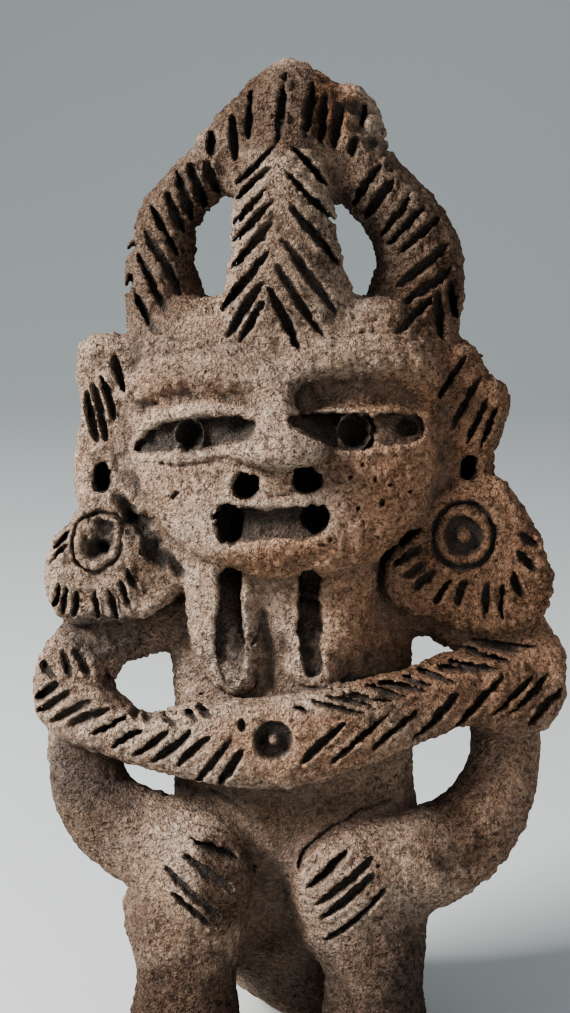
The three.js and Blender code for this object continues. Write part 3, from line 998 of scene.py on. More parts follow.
@dataclass(frozen=True)
class Arms(Portion):
    """The shoulders, the bent arms and the hands with their scored fingers."""

    coils: tuple[Coil, ...] = (
        Coil(
            path=((-16, 0, 93.2), (-30, -1, 92.4), (-41, -4, 88.6)),
            wide=(6.8, 6.3, 7),
            deep=(8, 8, 8.5),
            joint=Joint.SMEARED,
        ),
        Coil(
            path=((18, 0, 97), (32, -1, 96.4), (46, -4, 88.6)),
            wide=(7.6, 7.2, 7.6),
            deep=(8, 8, 8.5),
            joint=Joint.SMEARED,
        ),
        Coil(
            path=(
                (-42.8, -4, 76), (-42.8, -6, 64), (-39.2, -9, 55), (-31.3, -12.5, 49.8),
                (-20, -16.5, 47),
            ),
            wide=(6.8, 7.2, 8.7, 10, 10.6),
            deep=(7.5, 7.8, 8.6, 9, 9),
            joint=Joint.SMEARED,
        ),
        Coil(
            path=((46.4, -4, 76), (45.8, -6, 62), (41, -9.5, 52), (31.4, -14, 45.8), (17, -18, 44)),
            wide=(7.2, 7.4, 8.9, 10.7, 10),
            deep=(7.5, 7.8, 8.6, 9, 9),
            joint=Joint.SMEARED,
        ),
    )
    hands: tuple[Ball, ...] = (
        Ball((-16.8, -19.5, 43.6), (10.4, 9, 10.2), Joint.MERGED),
        Ball((12.2, -20, 42), (11.4, 9, 10.8), Joint.SMEARED),
    )
    fingers: tuple[Marks, ...] = (
        Marks(
            starts=((-19.5, 52.8), (-21, 50), (-24.5, 47), (-23, 42)),
            ends=((-9.5, 47.8), (-10.5, 42.2), (-13, 36.5), (-14.5, 34.5)),
        ),
        Marks(
            starts=((12.5, 50.5), (17.5, 49), (17.5, 46), (20, 43)),
            ends=((4, 42.5), (5.8, 39.5), (6.8, 36.5), (7.5, 31)),
        ),
    )
    creases: tuple[Crack, ...] = (
        Crack(((2.5, 44.5), (3.5, 48), (9.6, 53.2), (18, 56.8), (24, 57.4)), half=0.5, depth=1.0),
        Crack(((-9, 50), (-6.8, 45), (-7.2, 39), (-9.5, 34)), half=0.45, depth=0.6),
        Crack(((-17, 60.5), (-10, 57.4), (-5.4, 53)), half=0.5, depth=0.8),
    )
    rubbed: tuple[Crumble, ...] = (
        Crumble((-31, 50.5), (11, 8), 0.5, seed=51),
        Crumble((36, 47), (13, 9), 0.5, seed=54),
        Crumble((-22, 29), (11, 8), 0.5, seed=55),
        Crumble((16, 24), (11, 9), 0.5, seed=56),
    )

    def model(self, clay: ClayBlock) -> None:
        """Presses the shoulders, arms and hands on."""
        for piece in (*self.coils, *self.hands):
            piece.press_on(clay)

    def score(self, clay: ClayBlock) -> None:
        """Roughens the forearms and scores the fingers and the creases round the hands."""
        for piece in (*self.rubbed, *self.fingers, *self.creases):
            piece.score(clay)


@dataclass(frozen=True)
class Face(Portion):
    """The wide face: brows, hollow eyes, broad nose and open mouth."""

    skull: Mass = Mass(
        rounds=(
            (105.2, 0.5, -17.5, 6, 7),
            (108, 0.5, -15.5, 16.5, 11),
            (111.9, 0, -12.5, 22.8, 14.5),
            (116.8, 0.5, -9.2, 27.8, 17.6),
            (122.6, 0, -7, 31, 19.4),
            (130.6, -0.4, -5, 32.8, 20.2),
            (138.6, -0.2, -4, 33.4, 19.8),
            (148.8, 0.6, -3, 32.8, 18.8),
            (156, 1.2, -3, 32.2, 17.5),
            (161, 1.5, -3, 29.5, 14),
        ),
        square=2.6,
        joint=Joint.SMEARED,
    )
    sockets: tuple[Coil, ...] = (
        Coil(
            path=(
                (-29.6, -16.2, 137.8), (-24, -20.6, 140.6), (-16, -23.4, 141.4), (-9.4, -24.4, 140.2),
            ),
            wide=(1.5, 2.4, 2.6, 1.8),
            deep=(1.8, 2.2, 2.3, 1.6),
        ),
        Coil(
            path=(
                (1.2, -25.6, 139.4), (5, -25, 141.4), (12, -24, 142), (20, -22, 141.6),
                (26.4, -18, 139),
            ),
            wide=(3, 3.6, 3.8, 3.4, 1.8),
            deep=(5, 5.4, 5, 4.6, 3),
        ),
    )
    ridges: tuple[Coil, ...] = (
        Coil(
            path=((-30.5, -14.4, 142.4), (-24, -18.4, 145.4), (-15, -20.8, 146), (-5.5, -22.2, 144.4)),
            wide=(2.6, 3.6, 3.8, 3.2),
            deep=(2.4, 3.4, 3.6, 3),
            joint=Joint.SMEARED,
        ),
        Coil(
            path=(
                (-1.5, -22.6, 143.6), (4.5, -22.2, 147.6), (13, -21.8, 149), (24, -19.4, 147.6),
                (30.5, -14.8, 142.6),
            ),
            wide=(3, 3.6, 3.8, 3.6, 2.4),
            deep=(3, 3.6, 3.8, 3.6, 2.4),
            joint=Joint.SMEARED,
        ),
        Coil(
            path=((-2.6, -21.5, 144), (-1.6, -24.5, 138.4), (-0.8, -26.2, 132.6)),
            wide=(2.6, 3.4, 5.6),
            deep=(3, 4, 3.6),
            joint=Joint.SMEARED,
        ),
        Coil(
            path=((-12.6, -24.2, 111.8), (-3, -26, 111.2), (8, -24.4, 112)),
            wide=(1.4, 2.2, 1.4),
            deep=(1.8, 2.2, 1.8),
            joint=Joint.SMEARED,
        ),
    )
    lids: tuple[Coil, ...] = (
        Coil(
            path=(
                (-31, -15, 130.6), (-27.4, -18.4, 135.8), (-20.8, -21.6, 138.2), (-14, -23.2, 138.6),
                (-6.6, -23.6, 137.6),
            ),
            wide=(0.7, 1, 1.1, 1.1, 0.8),
            deep=(0.5, 0.8, 0.9, 0.9, 0.7),
        ),
        Coil(
            path=((-30.4, -15.6, 129), (-24, -21, 128.6), (-17, -23.4, 128.8), (-11.4, -24.2, 130.2)),
            wide=(0.7, 0.9, 1, 0.8),
            deep=(0.6, 0.8, 0.9, 0.7),
        ),
        Coil(
            path=(
                (5.4, -24.4, 131.4), (11, -23.8, 129.8), (17.4, -22.8, 131), (23, -21, 131),
                (28, -17, 132.6),
            ),
            wide=(0.9, 1.1, 1, 1, 0.8),
            deep=(0.8, 1, 0.9, 0.9, 0.8),
        ),
    )
    lumps: tuple[Ball, ...] = (
        Ball((-1.2, -26.2, 130.6), (9.8, 7.4, 3.9), Joint.PRESSED),
        Ball((-0.6, -27.4, 131.6), (6.6, 5.8, 3.9), Joint.SMEARED),
        Ball((-2, -22.4, 121.6), (9.4, 3.8, 4.6), Joint.MERGED),
    )
    windows: tuple[Window, ...] = (
        Window(
            outline=(
                (-30.4, 129.9), (-27, 134.2), (-21.2, 136.4), (-15.2, 136.8), (-6.4, 136.2),
                (-6.6, 133.4), (-13, 131.4), (-17, 130.3), (-24, 129.9),
            ),
            top=3.4,
            foot=2.4,
            stain_and_shade=1.0,
            pupil=Poke((-19.1, 133.2), (2.7, 3.3), 6, 0.1),
        ),
        Window(
            outline=(
                (0.6, 136.8), (5.2, 137.4), (11.7, 137.6), (17, 136.6), (17, 131), (11.8, 130.2),
                (6.2, 132.4),
            ),
            top=4.8,
            foot=3.4,
            stain_and_shade=0.95,
            pupil=Poke((13.4, 133.9), (3.1, 3.4), 7, 0.1),
        ),
        Window(
            outline=(
                (17.8, 137.2), (22.6, 137.6), (27, 136.5), (27.6, 133.2), (26.4, 131.8), (17.8, 131.8),
            ),
            top=2.6,
            foot=2.0,
            stain_and_shade=0.8,
        ),
        Window(
            outline=((-11, 118.6), (-3, 119.2), (6, 119), (6, 113.8), (-3, 113.2), (-11, 113.4)),
            top=4.6,
            foot=2.4,
            stain_and_shade=1.0,
        ),
    )
    pokes: tuple[Poke, ...] = (
        Poke((24.2, 134.5), (2.5, 2.2), 6, 0.0),
        Poke((-7.8, 123.7), (2.9, 2.8), 8),
        Poke((4.2, 124.5), (3.1, 2.6), 8),
        Poke((-11.3, 116), (2.9, 4.2), 9),
        Poke((5.8, 117), (3.2, 3.3), 9),
    )
    creases: tuple[Crack, ...] = (
        Crack(((-27, 128), (-21.6, 127.4), (-15.6, 128), (-11, 129.4)), half=0.6, depth=0.8, wander=0.2),
        Crack(((-32.6, 151.4), (-22, 152.4), (-12, 151.2), (-4, 152)), half=0.5, depth=0.35, wander=1.2),
        Crack(((6, 151), (14, 152.4), (24, 152), (30.4, 152.6)), half=0.5, depth=0.4, wander=1.2),
        Crack(((-5.4, 122.4), (-2, 121.6), (2, 122.6)), half=0.7, depth=0.6),
        Crack(
            ((-10.4, 130), (-8.8, 128.2), (-5.4, 127), (-1.3, 126.7), (3, 127), (6.8, 128.2)),
            half=0.8,
            depth=0.5,
        ),
        Crack(((-10.8, 131), (-10.4, 133.2), (-8, 135.2)), half=1.0, depth=0.5),
        Crack(
            ((-34.6, 121.6), (-31.6, 117), (-29.2, 113.2), (-26.4, 109.2), (-23.2, 106.6), (-20.4, 104)),
            half=1.5,
            depth=2.4,
            wander=0.5,
        ),
    )
    slits: Nicks = Nicks(
        places=(
            (10, 122.5), (19, 120), (15, 127.5), (10.5, 120), (18, 113.5), (15, 116), (8.5, 113),
            (20.5, 123.5), (14.2, 119), (22, 116.5), (12.5, 125), (-14, 117.5), (-22, 121.5),
            (24.5, 122), (17.5, 124.8),
        ),
    )
    rubbed: tuple[Crumble, ...] = (
        Crumble((0, 151.5), (31, 3.2), 0.6, seed=57),
        Crumble((-20, 148.5), (12, 3), 0.3, seed=60),
        Crumble((14, 141), (12, 3), 0.35, seed=63),
    )

    def model(self, clay: ClayBlock) -> None:
        """Presses the head on, hollows its sockets, and adds the brows, nose, lips and lids.

        Args:
            clay: what they are pressed onto.
        """
        self.skull.press_on(clay)
        for socket in self.sockets:
            socket.scoop_out(clay, 1.8)
        for piece in (*self.ridges, *self.lumps, *self.lids):
            piece.press_on(clay)

    def pierce(self, clay: ClayBlock) -> None:
        """Cuts the eyes and mouth and pokes their holes."""
        for opening in (*self.windows, *self.pokes):
            opening.open(clay)

    def score(self, clay: ClayBlock) -> None:
        """Roughens the forehead and scores the creases, and the slits of the cheeks."""
        for piece in (*self.rubbed, *self.creases, self.slits):
            piece.score(clay)


@dataclass(frozen=True)
class Ears(Portion):
    """The scored side flaps and the round earlobes with their ear spools."""

    slabs: tuple[Slab, ...] = (
        Slab(
            outline=(
                (-42.6, 149), (-39.6, 152.4), (-35, 152.8), (-29, 150.5), (-28, 134), (-31, 117),
                (-42.2, 118), (-42.4, 138.6),
            ),
            front=-13,
            thick=14,
        ),
        Slab(
            outline=(
                (30, 151), (37.5, 151), (40.6, 145.7), (45.6, 141.1), (43.9, 132.5), (42.2, 127),
                (43.4, 118), (31, 117), (28, 134),
            ),
            front=-13,
            thick=14,
        ),
        Slab(
            outline=(
                (-41.5, 122), (-42.4, 118.2), (-44.6, 114.4), (-48, 110.2), (-49.4, 102.4), (-48, 97),
                (-44, 94.4), (-39.6, 94), (-29.6, 95.4), (-22.4, 99.6), (-19.4, 107.4), (-25, 119),
                (-33.4, 123),
            ),
            front=-16,
            thick=13,
        ),
        Slab(
            outline=(
                (30, 121), (23.3, 111), (20.4, 104.3), (22.4, 98.1), (31.6, 94.4), (43.9, 92.1),
                (51, 94.4), (54.4, 101.2), (52.8, 109.6), (48.2, 118), (42.4, 124),
            ),
            front=-16,
            thick=13,
        ),
    )
    holes: tuple[Poke, ...] = (
        Poke((-37.6, 124.2), (2, 2.9), 8),
        Poke((37.2, 126), (2.1, 3), 8),
    )
    spools: tuple[Ring, ...] = (
        Ring((-38.2, 111.4), (4.5, 5.3), 3.6, 0, 1.34, -0.28, 1.6, 1.0, 0.45),
        Ring((36, 112.6), (5.4, 6.9), 4.3, 1.8, 1.08, 0.1, 1.9, 0.35),
    )
    marks: tuple[Marks, ...] = (
        Marks(
            starts=((-35, 149), (-37.5, 145), (-39.2, 143.4), (-40.6, 141.5)),
            ends=((-32.5, 141), (-35, 136), (-36.6, 131.5), (-38.4, 131.2)),
            seed=2,
        ),
        Marks(
            starts=((36.5, 149), (39.5, 145), (41, 140.5), (43, 139)),
            ends=((30.2, 140), (33.5, 134), (36.8, 131), (39.4, 130)),
            seed=3,
        ),
        Marks(
            starts=(
                (-43.9, 115.9), (-43.9, 113.4), (-44, 111), (-46.2, 103.3), (-44.3, 102.5),
                (-42.8, 101.4), (-38.9, 101.8), (-36.2, 101.8), (-33.9, 103.6), (-32.3, 106.1),
            ),
            ends=(
                (-46.7, 113.8), (-47.5, 109.6), (-48, 106.4), (-47.6, 97.6), (-45.7, 96.1),
                (-43.4, 95.8), (-38.4, 95.4), (-34.7, 95.6), (-32, 98.1), (-30, 101),
            ),
            half=0.62,
            depth=1.9,
            seed=4,
        ),
        Marks(
            starts=((-33, 119.2), (-29.9, 114.2), (-29.1, 111.9), (-29.5, 109.9), (-30.5, 116.5)),
            ends=((-30.2, 117.3), (-25.7, 111.1), (-26.5, 108.7), (-24.2, 105.7), (-27.6, 114.2)),
            half=1.2,
            depth=2.2,
            seed=22,
        ),
        Marks(
            starts=(
                (27.4, 114.2), (27.6, 110.6), (28, 107), (30.5, 105.5), (33.5, 103.6), (36.5, 103.6),
                (41, 103), (44, 102.8), (46, 105.5), (46.8, 109.4), (47, 113.4),
            ),
            ends=(
                (22.8, 110.4), (21.6, 106.2), (23.5, 104), (26, 101), (30, 98.5), (35, 98),
                (40.5, 95.3), (44, 95.4), (48.2, 99.8), (51.2, 105), (51.6, 109.8),
            ),
            depth=1.9,
            seed=5,
        ),
    )
    broken: tuple[Crumble, ...] = (
        Crumble((-29.8, 112), (3.8, 6.5), 2.4, seed=66),
        Crumble((-38, 105), (13, 12), 0.7, seed=69),
        Crumble((-39, 150), (5, 3.4), 0.8, seed=75),
        Crumble((41, 147), (6, 4), 0.8, seed=78),
        Crumble((30, 99), (6, 6), 0.5, seed=81),
    )
    crumbs: Crumble = Crumble((-38.2, 111.4), (3.4, 4.8), 1.8, (2.2, 1.3), seed=72)

    def model(self, clay: ClayBlock) -> None:
        """Presses the flaps and lobes on."""
        for slab in self.slabs:
            slab.press_on(clay)

    def pierce(self, clay: ClayBlock) -> None:
        """Pokes the ear holes."""
        for hole in self.holes:
            hole.open(clay)

    def score(self, clay: ClayBlock) -> None:
        """Roughens the broken places, presses the spools and scores the rays round them."""
        for piece in (*self.broken, *self.spools, *self.marks, self.crumbs):
            piece.score(clay)


@dataclass(frozen=True)
class Headdress(Portion):
    """The two arches that meet in a crown over the head, and the braid that hangs between them."""

    arches: tuple[Coil, ...] = (
        Coil(
            path=(
                (-24, -5, 151), (-25, -5, 160.3), (-25.9, -5, 166), (-25.5, -5, 171), (-23.8, -5, 177),
                (-20.2, -5, 181.6), (-15.8, -5, 186.6), (-11.8, -5, 191), (-8, -5, 194.8),
                (-4, -5, 197.4), (1, -5, 199.4),
            ),
            wide=(7.2, 8.1, 7.0, 6.5, 5.9, 5.5, 5.3, 5.5, 5.9, 7, 8.4),
            deep=(9, 9, 9, 8.8, 8.6, 8.4, 8.2, 8, 8.2, 8.4, 8.8),
        ),
        Coil(
            path=(
                (27.4, -5, 151), (26.8, -5, 160.3), (27.6, -5, 165.5), (26.8, -5, 170.8),
                (24.8, -5, 175.2), (21.4, -5, 179.6), (18.2, -5, 183), (15, -5, 187.5), (12, -5, 192.4),
                (7.6, -5, 196.6), (1, -5, 199.4),
            ),
            wide=(8, 9.8, 9.1, 8.6, 7.7, 7, 7, 6.9, 6.7, 7.3, 8.4),
            deep=(9, 9, 9, 8.8, 8.6, 8.6, 8.4, 8.4, 8.4, 8.4, 8.8),
        ),
    )
    crown: Slab = Slab(
        outline=(
            (-13.4, 182.6), (-8, 180), (8, 180), (12.4, 180.6), (17, 180), (19.4, 182), (16, 186),
            (12, 191), (7, 195.5), (1, 198), (-5, 196), (-10, 191), (-14, 187),
        ),
        front=-13.4,
        thick=15.4,
    )
    crumbs: tuple[Ball, ...] = (
        Ball((11.4, -4, 198.2), (6, 7.5, 5.4), Joint.LAID),
        Ball((17, -3, 196.4), (2.7, 5, 4), Joint.LAID),
    )
    braid: Coil = Coil(
        path=(
            (0.4, -7, 199.6), (-0.2, -11, 188), (-0.4, -13, 178), (-0.3, -14, 169), (0, -15, 161),
            (0.2, -14.5, 151),
        ),
        wide=(7, 8.4, 10.1, 10.6, 12.8, 15),
        deep=(6.5, 8, 8.6, 9, 9, 6.5),
        joint=Joint.PRESSED,
    )
    marks: tuple[Marks, ...] = (
        Marks(
            starts=(
                (-16, 187.5), (-19.5, 187), (-22, 186), (-24, 181.5), (-27, 179), (-28.5, 174),
                (-30, 169.5), (-30.5, 161.5),
            ),
            ends=(
                (-13.2, 181.4), (-16.3, 178.8), (-19.2, 175.8), (-20.9, 173), (-21.8, 168.8),
                (-21.3, 160.8), (-24, 157.5), (-26, 153),
            ),
            half=1.0,
            seed=6,
        ),
        Marks(
            starts=(
                (-15, 194), (-10.5, 197), (-7, 201.5), (-0.2, 204.8), (5.3, 203), (8, 200.6),
                (11.4, 199), (16, 199.4), (14.2, 192.4),
            ),
            ends=(
                (-15, 188.3), (-10, 187.3), (-7.5, 191.4), (-1.8, 189.8), (3.5, 190.8), (6.6, 190.2),
                (9.6, 189.6), (15, 194), (13.2, 188),
            ),
            half=1.0,
            seed=7,
        ),
        Marks(
            starts=(
                (19, 186.8), (21.6, 184), (25.2, 181.4), (27.8, 178.8), (30.8, 176.5), (32.8, 171.6),
                (33.7, 166.6), (29.5, 160.5),
            ),
            ends=(
                (13.6, 179), (15.8, 176.3), (19.2, 172.6), (20.4, 170.6), (22.6, 169), (22.3, 162.6),
                (23.2, 159), (21.4, 152.8),
            ),
            half=1.0,
            seed=8,
        ),
        Marks(starts=((30.5, 161.4), (33, 163.7)), ends=((31.6, 151.8), (34.6, 156.3)), seed=9),
        Marks(
            starts=((-29.8, 174.8), (-30.4, 171.6), (-31, 165.6)),
            ends=((-32.4, 171.6), (-33, 168), (-32.8, 161.2)),
            depth=1.8,
            seed=10,
        ),
        Marks(
            starts=(
                (-2, 190), (-3, 185.5), (-3.6, 181.5), (-2.5, 179), (-2.5, 175), (-3, 169.6),
                (-4.4, 163.2), (-4.4, 159.6),
            ),
            ends=(
                (-9.8, 182.8), (-9.8, 179.6), (-10.4, 174.6), (-10.4, 171), (-10.8, 165.6),
                (-12.8, 157.6), (-11.8, 152.2), (-9.2, 151.2),
            ),
            seed=11,
        ),
        Marks(
            starts=((1, 189.6), (-0.5, 185), (0.6, 178.2), (-1, 171.6), (-2, 166.6), (-3.6, 162.2)),
            ends=((7.8, 182.2), (9.8, 175), (10.4, 166.5), (9.9, 156.8), (7.7, 152), (2.6, 149.6)),
            half=1.05,
            depth=2.4,
            seed=12,
        ),
    )
    seam: Crack = Crack(
        ((-10, 182), (-7.8, 186.4), (-4.4, 188.4), (-1, 189.4), (2.8, 189.4), (7.6, 187.2), (9.6, 182)),
        half=0.7,
        depth=0.5,
        wander=0.8,
    )
    broken: tuple[Crumble, ...] = (
        Crumble((16, 194), (6.5, 7), 1.4, seed=84),
        Crumble((0, 196), (14, 8), 0.45, seed=87),
        Crumble((-26, 155), (9, 5), 0.6, seed=90),
        Crumble((26, 154), (9, 4), 0.6, seed=93),
        Crumble((4, 170), (5, 12), 0.4, seed=96),
    )

    def model(self, clay: ClayBlock) -> None:
        """Presses the arches, the crown, its crumbs and the braid on."""
        for piece in (*self.arches, self.crown, *self.crumbs, self.braid):
            piece.press_on(clay)

    def score(self, clay: ClayBlock) -> None:
        """Roughens the broken places and scores the arches, the crown and the braid."""
        for piece in (*self.broken, self.seam, *self.marks):
            piece.score(clay)


@dataclass(frozen=True)
class Pendants(Portion):
    """The two slit pendants that hang on the chest under the chin."""

    bib: Slab = Slab(
        outline=(
            (-20, 112), (-20.4, 102), (-20, 94), (-18, 86), (-12, 80), (-4, 79), (6, 80), (13, 82),
            (16.6, 88), (17, 96), (17, 112),
        ),
        front=-16.4,
        thick=12,
        soft=4.6,
        joint=Joint.SMEARED,
    )
    pads: tuple[Coil, ...] = (
        Coil(
            path=((-13.6, -11, 110), (-13.4, -14.6, 101), (-12.6, -16.2, 93), (-10.8, -17.4, 85.4)),
            wide=(6.6, 6.6, 6.6, 4.6),
            deep=(5, 5, 4.8, 4),
            joint=Joint.SMEARED,
        ),
        Coil(
            path=((7.4, -10, 110), (7.2, -13.6, 101), (7, -15.4, 93), (6, -17, 86.6)),
            wide=(7.6, 8, 8.2, 5.6),
            deep=(5, 5, 4.8, 4),
            joint=Joint.SMEARED,
        ),
    )
    slots: tuple[Window, ...] = (
        Window(
            outline=(
                (-13, 106), (-9.4, 106), (-8.9, 98), (-8.4, 91), (-8.9, 85), (-11.2, 82.8), (-13.4, 86),
                (-14.2, 93), (-13.8, 100),
            ),
            top=7.5,
            foot=0.4,
            edge=0.8,
            stain_and_shade=0.75,
        ),
        Window(
            outline=(
                (3.1, 106), (6.7, 106), (7.1, 98), (6.9, 91), (6.9, 85.2), (4.6, 84.4), (3.1, 90),
                (2.7, 98),
            ),
            top=7.5,
            foot=2.2,
            edge=0.8,
            stain_and_shade=0.75,
        ),
    )
    rubbed: tuple[Crumble, ...] = (
        Crumble((-14, 94), (9, 14), 0.3, seed=105),
        Crumble((-1, 92), (6, 12), 0.5, seed=108),
        Crumble((12, 90), (8, 9), 0.35, seed=111),
    )
    creases: tuple[Crack, ...] = (
        Crack(((-17.4, 83), (-12.8, 80.6), (-9.8, 79.6), (-6.6, 81.6), (-5.6, 86)), half=0.6, depth=0.9),
        Crack(((-1.6, 88), (-0.8, 84), (3, 82.2), (10, 82.4), (14, 84.4)), half=0.5, depth=0.7),
        Crack(((-5, 99), (-4, 92), (-3.2, 86), (-4, 82)), half=1.6, depth=1.0, wander=0.6),
        Crack(((-7.4, 90), (-5.6, 92.4), (-5, 95)), half=0.5, depth=1.2),
    )

    def model(self, clay: ClayBlock) -> None:
        """Presses the bib and the pendants on."""
        for pad in (self.bib, *self.pads):
            pad.press_on(clay)

    def pierce(self, clay: ClayBlock) -> None:
        """Opens the slits, deepest under the chin."""
        for slot in self.slots:
            slot.open(clay)

    def score(self, clay: ClayBlock) -> None:
        """Roughens the pendants and scores the creases round them."""
        for piece in (*self.rubbed, *self.creases):
            piece.score(clay)


@dataclass(frozen=True)
class Band(Portion):
    """The scored band that runs from shoulder to shoulder across the waist, with its navel button."""

    coil: Coil = Coil(
        path=(
            (-39.6, -5, 89.4), (-43.4, -8, 84.6), (-43.6, -11, 78.2), (-34.6, -14.5, 72.1),
            (-27, -16.6, 70.2), (-20, -19.2, 71), (-10, -22, 71.4), (1.5, -22.6, 71.8),
            (12, -21.2, 74.6), (25.5, -17.8, 78), (37.5, -13.5, 81), (47.6, -10, 79.8),
            (50.2, -7, 84.2), (48.6, -5, 89),
        ),
        wide=(7.2, 8.2, 8.4, 5.3, 5.5, 7.4, 8.8, 9.2, 8.9, 7.4, 7.4, 10.2, 8.4, 7),
        deep=(7.5, 8, 7.6, 6.6, 6.5, 6.3, 6.2, 6.2, 6.2, 6.2, 6.6, 7.6, 7.4, 7),
        joint=Joint.LAID,
        square=2.8,
    )
    edge_crack: Crack = Crack(((-39, 86.4), (-37.2, 83.6), (-35.4, 80.6), (-34, 79)), half=0.5, depth=0.9)
    button: Ring = Ring((-2.5, 73.2), None, 4.1, 1.6, 1.0, 0.0, 2.6, 0.25)
    marks: tuple[Marks, ...] = (
        Marks(
            starts=(
                (-46.4, 82.7), (-44.2, 80.9), (-39.1, 79.4), (-35.7, 77.6), (-32.4, 76), (-28.5, 74),
                (-23.1, 74.8), (-18.9, 74.9), (-15.1, 73.8), (-10.8, 73.7), (-8.4, 71.5),
            ),
            ends=(
                (-51.8, 78.6), (-51.6, 75.8), (-48.3, 74.5), (-44.5, 74.1), (-40, 72.5), (-35.2, 70),
                (-31.2, 68.5), (-27, 67.6), (-21.9, 67.3), (-18.1, 63.8), (-13.8, 63.4),
            ),
            half=0.92,
            seed=13,
        ),
        Marks(
            starts=(
                (-50.3, 86.3), (-46.3, 88.8), (-43.9, 88.7), (-31.6, 77.6), (-30, 77.4), (-25.8, 76.8),
                (-20.4, 78.2), (-18.1, 79), (-9, 77.5),
            ),
            ends=(
                (-46.7, 83.3), (-44, 83.4), (-39.9, 83.2), (-30.1, 75.4), (-27.4, 75), (-21.6, 74.9),
                (-17.5, 75.8), (-14.6, 77), (-8.7, 74.9),
            ),
            half=0.75,
            depth=1.7,
            seed=14,
        ),
        Marks(
            starts=(
                (11.9, 76.8), (21, 78.7), (26.3, 78.4), (34.7, 81.7), (44.2, 84.5), (50.4, 84),
                (53.9, 84.1), (57, 80.9),
            ),
            ends=(
                (2.7, 68.3), (8.4, 68.2), (17, 70.8), (25.2, 72.5), (34.1, 73.9), (41.9, 76.4),
                (44.9, 76), (49.4, 73.4),
            ),
            half=0.85,
            seed=15,
        ),
        Marks(
            starts=(
                (1.3, 79.7), (4.9, 80.8), (7.9, 81.5), (10.6, 82.2), (15.9, 83.4), (18.4, 83.7),
                (23.5, 84.8), (26.8, 85.7), (30.4, 86.3), (33.1, 87.2), (36.6, 88.4), (39.5, 89.3),
                (37.8, 90.4),
            ),
            ends=(
                (4.4, 78.5), (16.1, 78.2), (18.3, 79.1), (21, 80.4), (23.9, 80.9), (28.4, 81.8),
                (29.6, 82.9), (34.4, 83.2), (41.7, 84.8), (43.7, 85.6), (46.1, 86.4), (48.9, 87.8),
                (52, 88.9),
            ),
            half=0.66,
            depth=1.6,
            tool=Tool.BRUSH,
            seed=16,
        ),
    )
    rubbed: tuple[Crumble, ...] = (
        Crumble((-12, 78), (9, 5), 0.8, seed=99),
        Crumble((2, 66), (12, 4), 0.4, seed=102),
        Crumble((-44, 82), (8, 8), 0.5, seed=103),
        Crumble((26, 83), (24, 5), 0.4, seed=104),
    )

    def model(self, clay: ClayBlock) -> None:
        """Lays the band on."""
        self.coil.press_on(clay)

    def score(self, clay: ClayBlock) -> None:
        """Roughens the band, presses its button and scores the herringbone."""
        for piece in (*self.rubbed, self.button, *self.marks, self.edge_crack):
            piece.score(clay)


@dataclass(frozen=True)
class Weathering(Portion):
    """Straw pits all over, and the lumps, crumbs and grit of the fired surface."""

    pits: int = 700
    pit_half: Point2 = (0.22, 0.5)
    pit_length: Point2 = (0.2, 2.4)
    seed: int = 21
    swell: tuple[Point2, ...] = ((15.0, 0.35), (7.0, 0.26))
    crust: tuple[Point2, ...] = ((3.6, 0.3), (2.0, 0.3), (1.2, 0.22))
    bare: float = 9.0
    worn_below: Point2 = (62.0, 100.0)
    ripple_seeds: tuple[int, int, int] = (40, 46, 50)
    shifts: Point2 = (11.3, 7.7)

    def pierce(self, clay: ClayBlock) -> None:
        """Presses the small voids that burnt straw leaves.

        Args:
            clay: the block whose whole surface is pitted.
        """
        luck = np.random.default_rng(self.seed)
        points, _ = clay.skin()
        for centre in points[luck.integers(0, len(points), self.pits)]:
            half = luck.uniform(*self.pit_half) * luck.uniform(0.7, 1)
            length = luck.uniform(*self.pit_length) * luck.uniform(0.2, 1)
            way = luck.normal(size=3)
            way *= length / 2 / np.linalg.norm(way)
            self.slit(clay, centre - way, centre + way, half)

    @staticmethod
    def slit(clay: ClayBlock, start: Grid, end: Grid, half: float) -> None:
        """Cuts one slit between two points.

        Args:
            clay: the block that it is cut into.
            start: its first point.
            end: its last point.
            half: its half width.
        """
        low, high = np.minimum(start, end) - half - 1, np.maximum(start, end) + half + 1
        region = clay.region(low, high)
        x, y, z = (axis[part] for axis, part in zip(clay.axes, region))
        along = end - start
        wx, wy, wz = x[:, None, None] - start[0], y[None, :, None] - start[1], z[None, None, :] - start[2]
        t = np.clip((wx * along[0] + wy * along[1] + wz * along[2]) / (along @ along + 1e-9), 0, 1)
        away = (wx - along[0] * t) ** 2 + (wy - along[1] * t) ** 2 + (wz - along[2] * t) ** 2
        clay.cut(region, (np.sqrt(away) - half).astype(np.float32), 0.2)

    def roughness(self, points: Grid) -> Grid:
        """Works out how far each point of the skin stands out of the smooth form.

        Args:
            points: the skin's points, one in each row.

        Returns:
            The height at each point, in millimetres.
        """
        total = np.zeros(len(points), np.float32)
        swell_seed, bare_seed, crust_seed = self.ripple_seeds
        for i, (size, height) in enumerate(self.swell):
            total += height * Ripple(swell_seed + i).at(points + self.shifts[0] * i, size)
        uneven = Ripple(bare_seed).at(points, self.bare)
        cover = 0.62 + 0.34 * step(points[:, 2], *self.worn_below) + 0.35 * uneven
        for i, (size, height) in enumerate(self.crust):
            lumps = np.abs(Ripple(crust_seed + i).at(points + self.shifts[1] * i, size))
            total += cover * height * (2.2 * lumps - 0.6)
        return total


@dataclass(frozen=True)
class Smudge:
    """A soft-edged patch of colour in space: its centre, its half sizes and how strong it is."""

    at: Point3
    half: Point3
    strength: float = 1.0

    def cover(self, points: Grid) -> Grid:
        """How far the smudge covers each point, from 0 to 1."""
        far = np.linalg.norm((points - self.at) / np.array(self.half), axis=1)
        return self.strength * step(far, 1.35, 0.65)


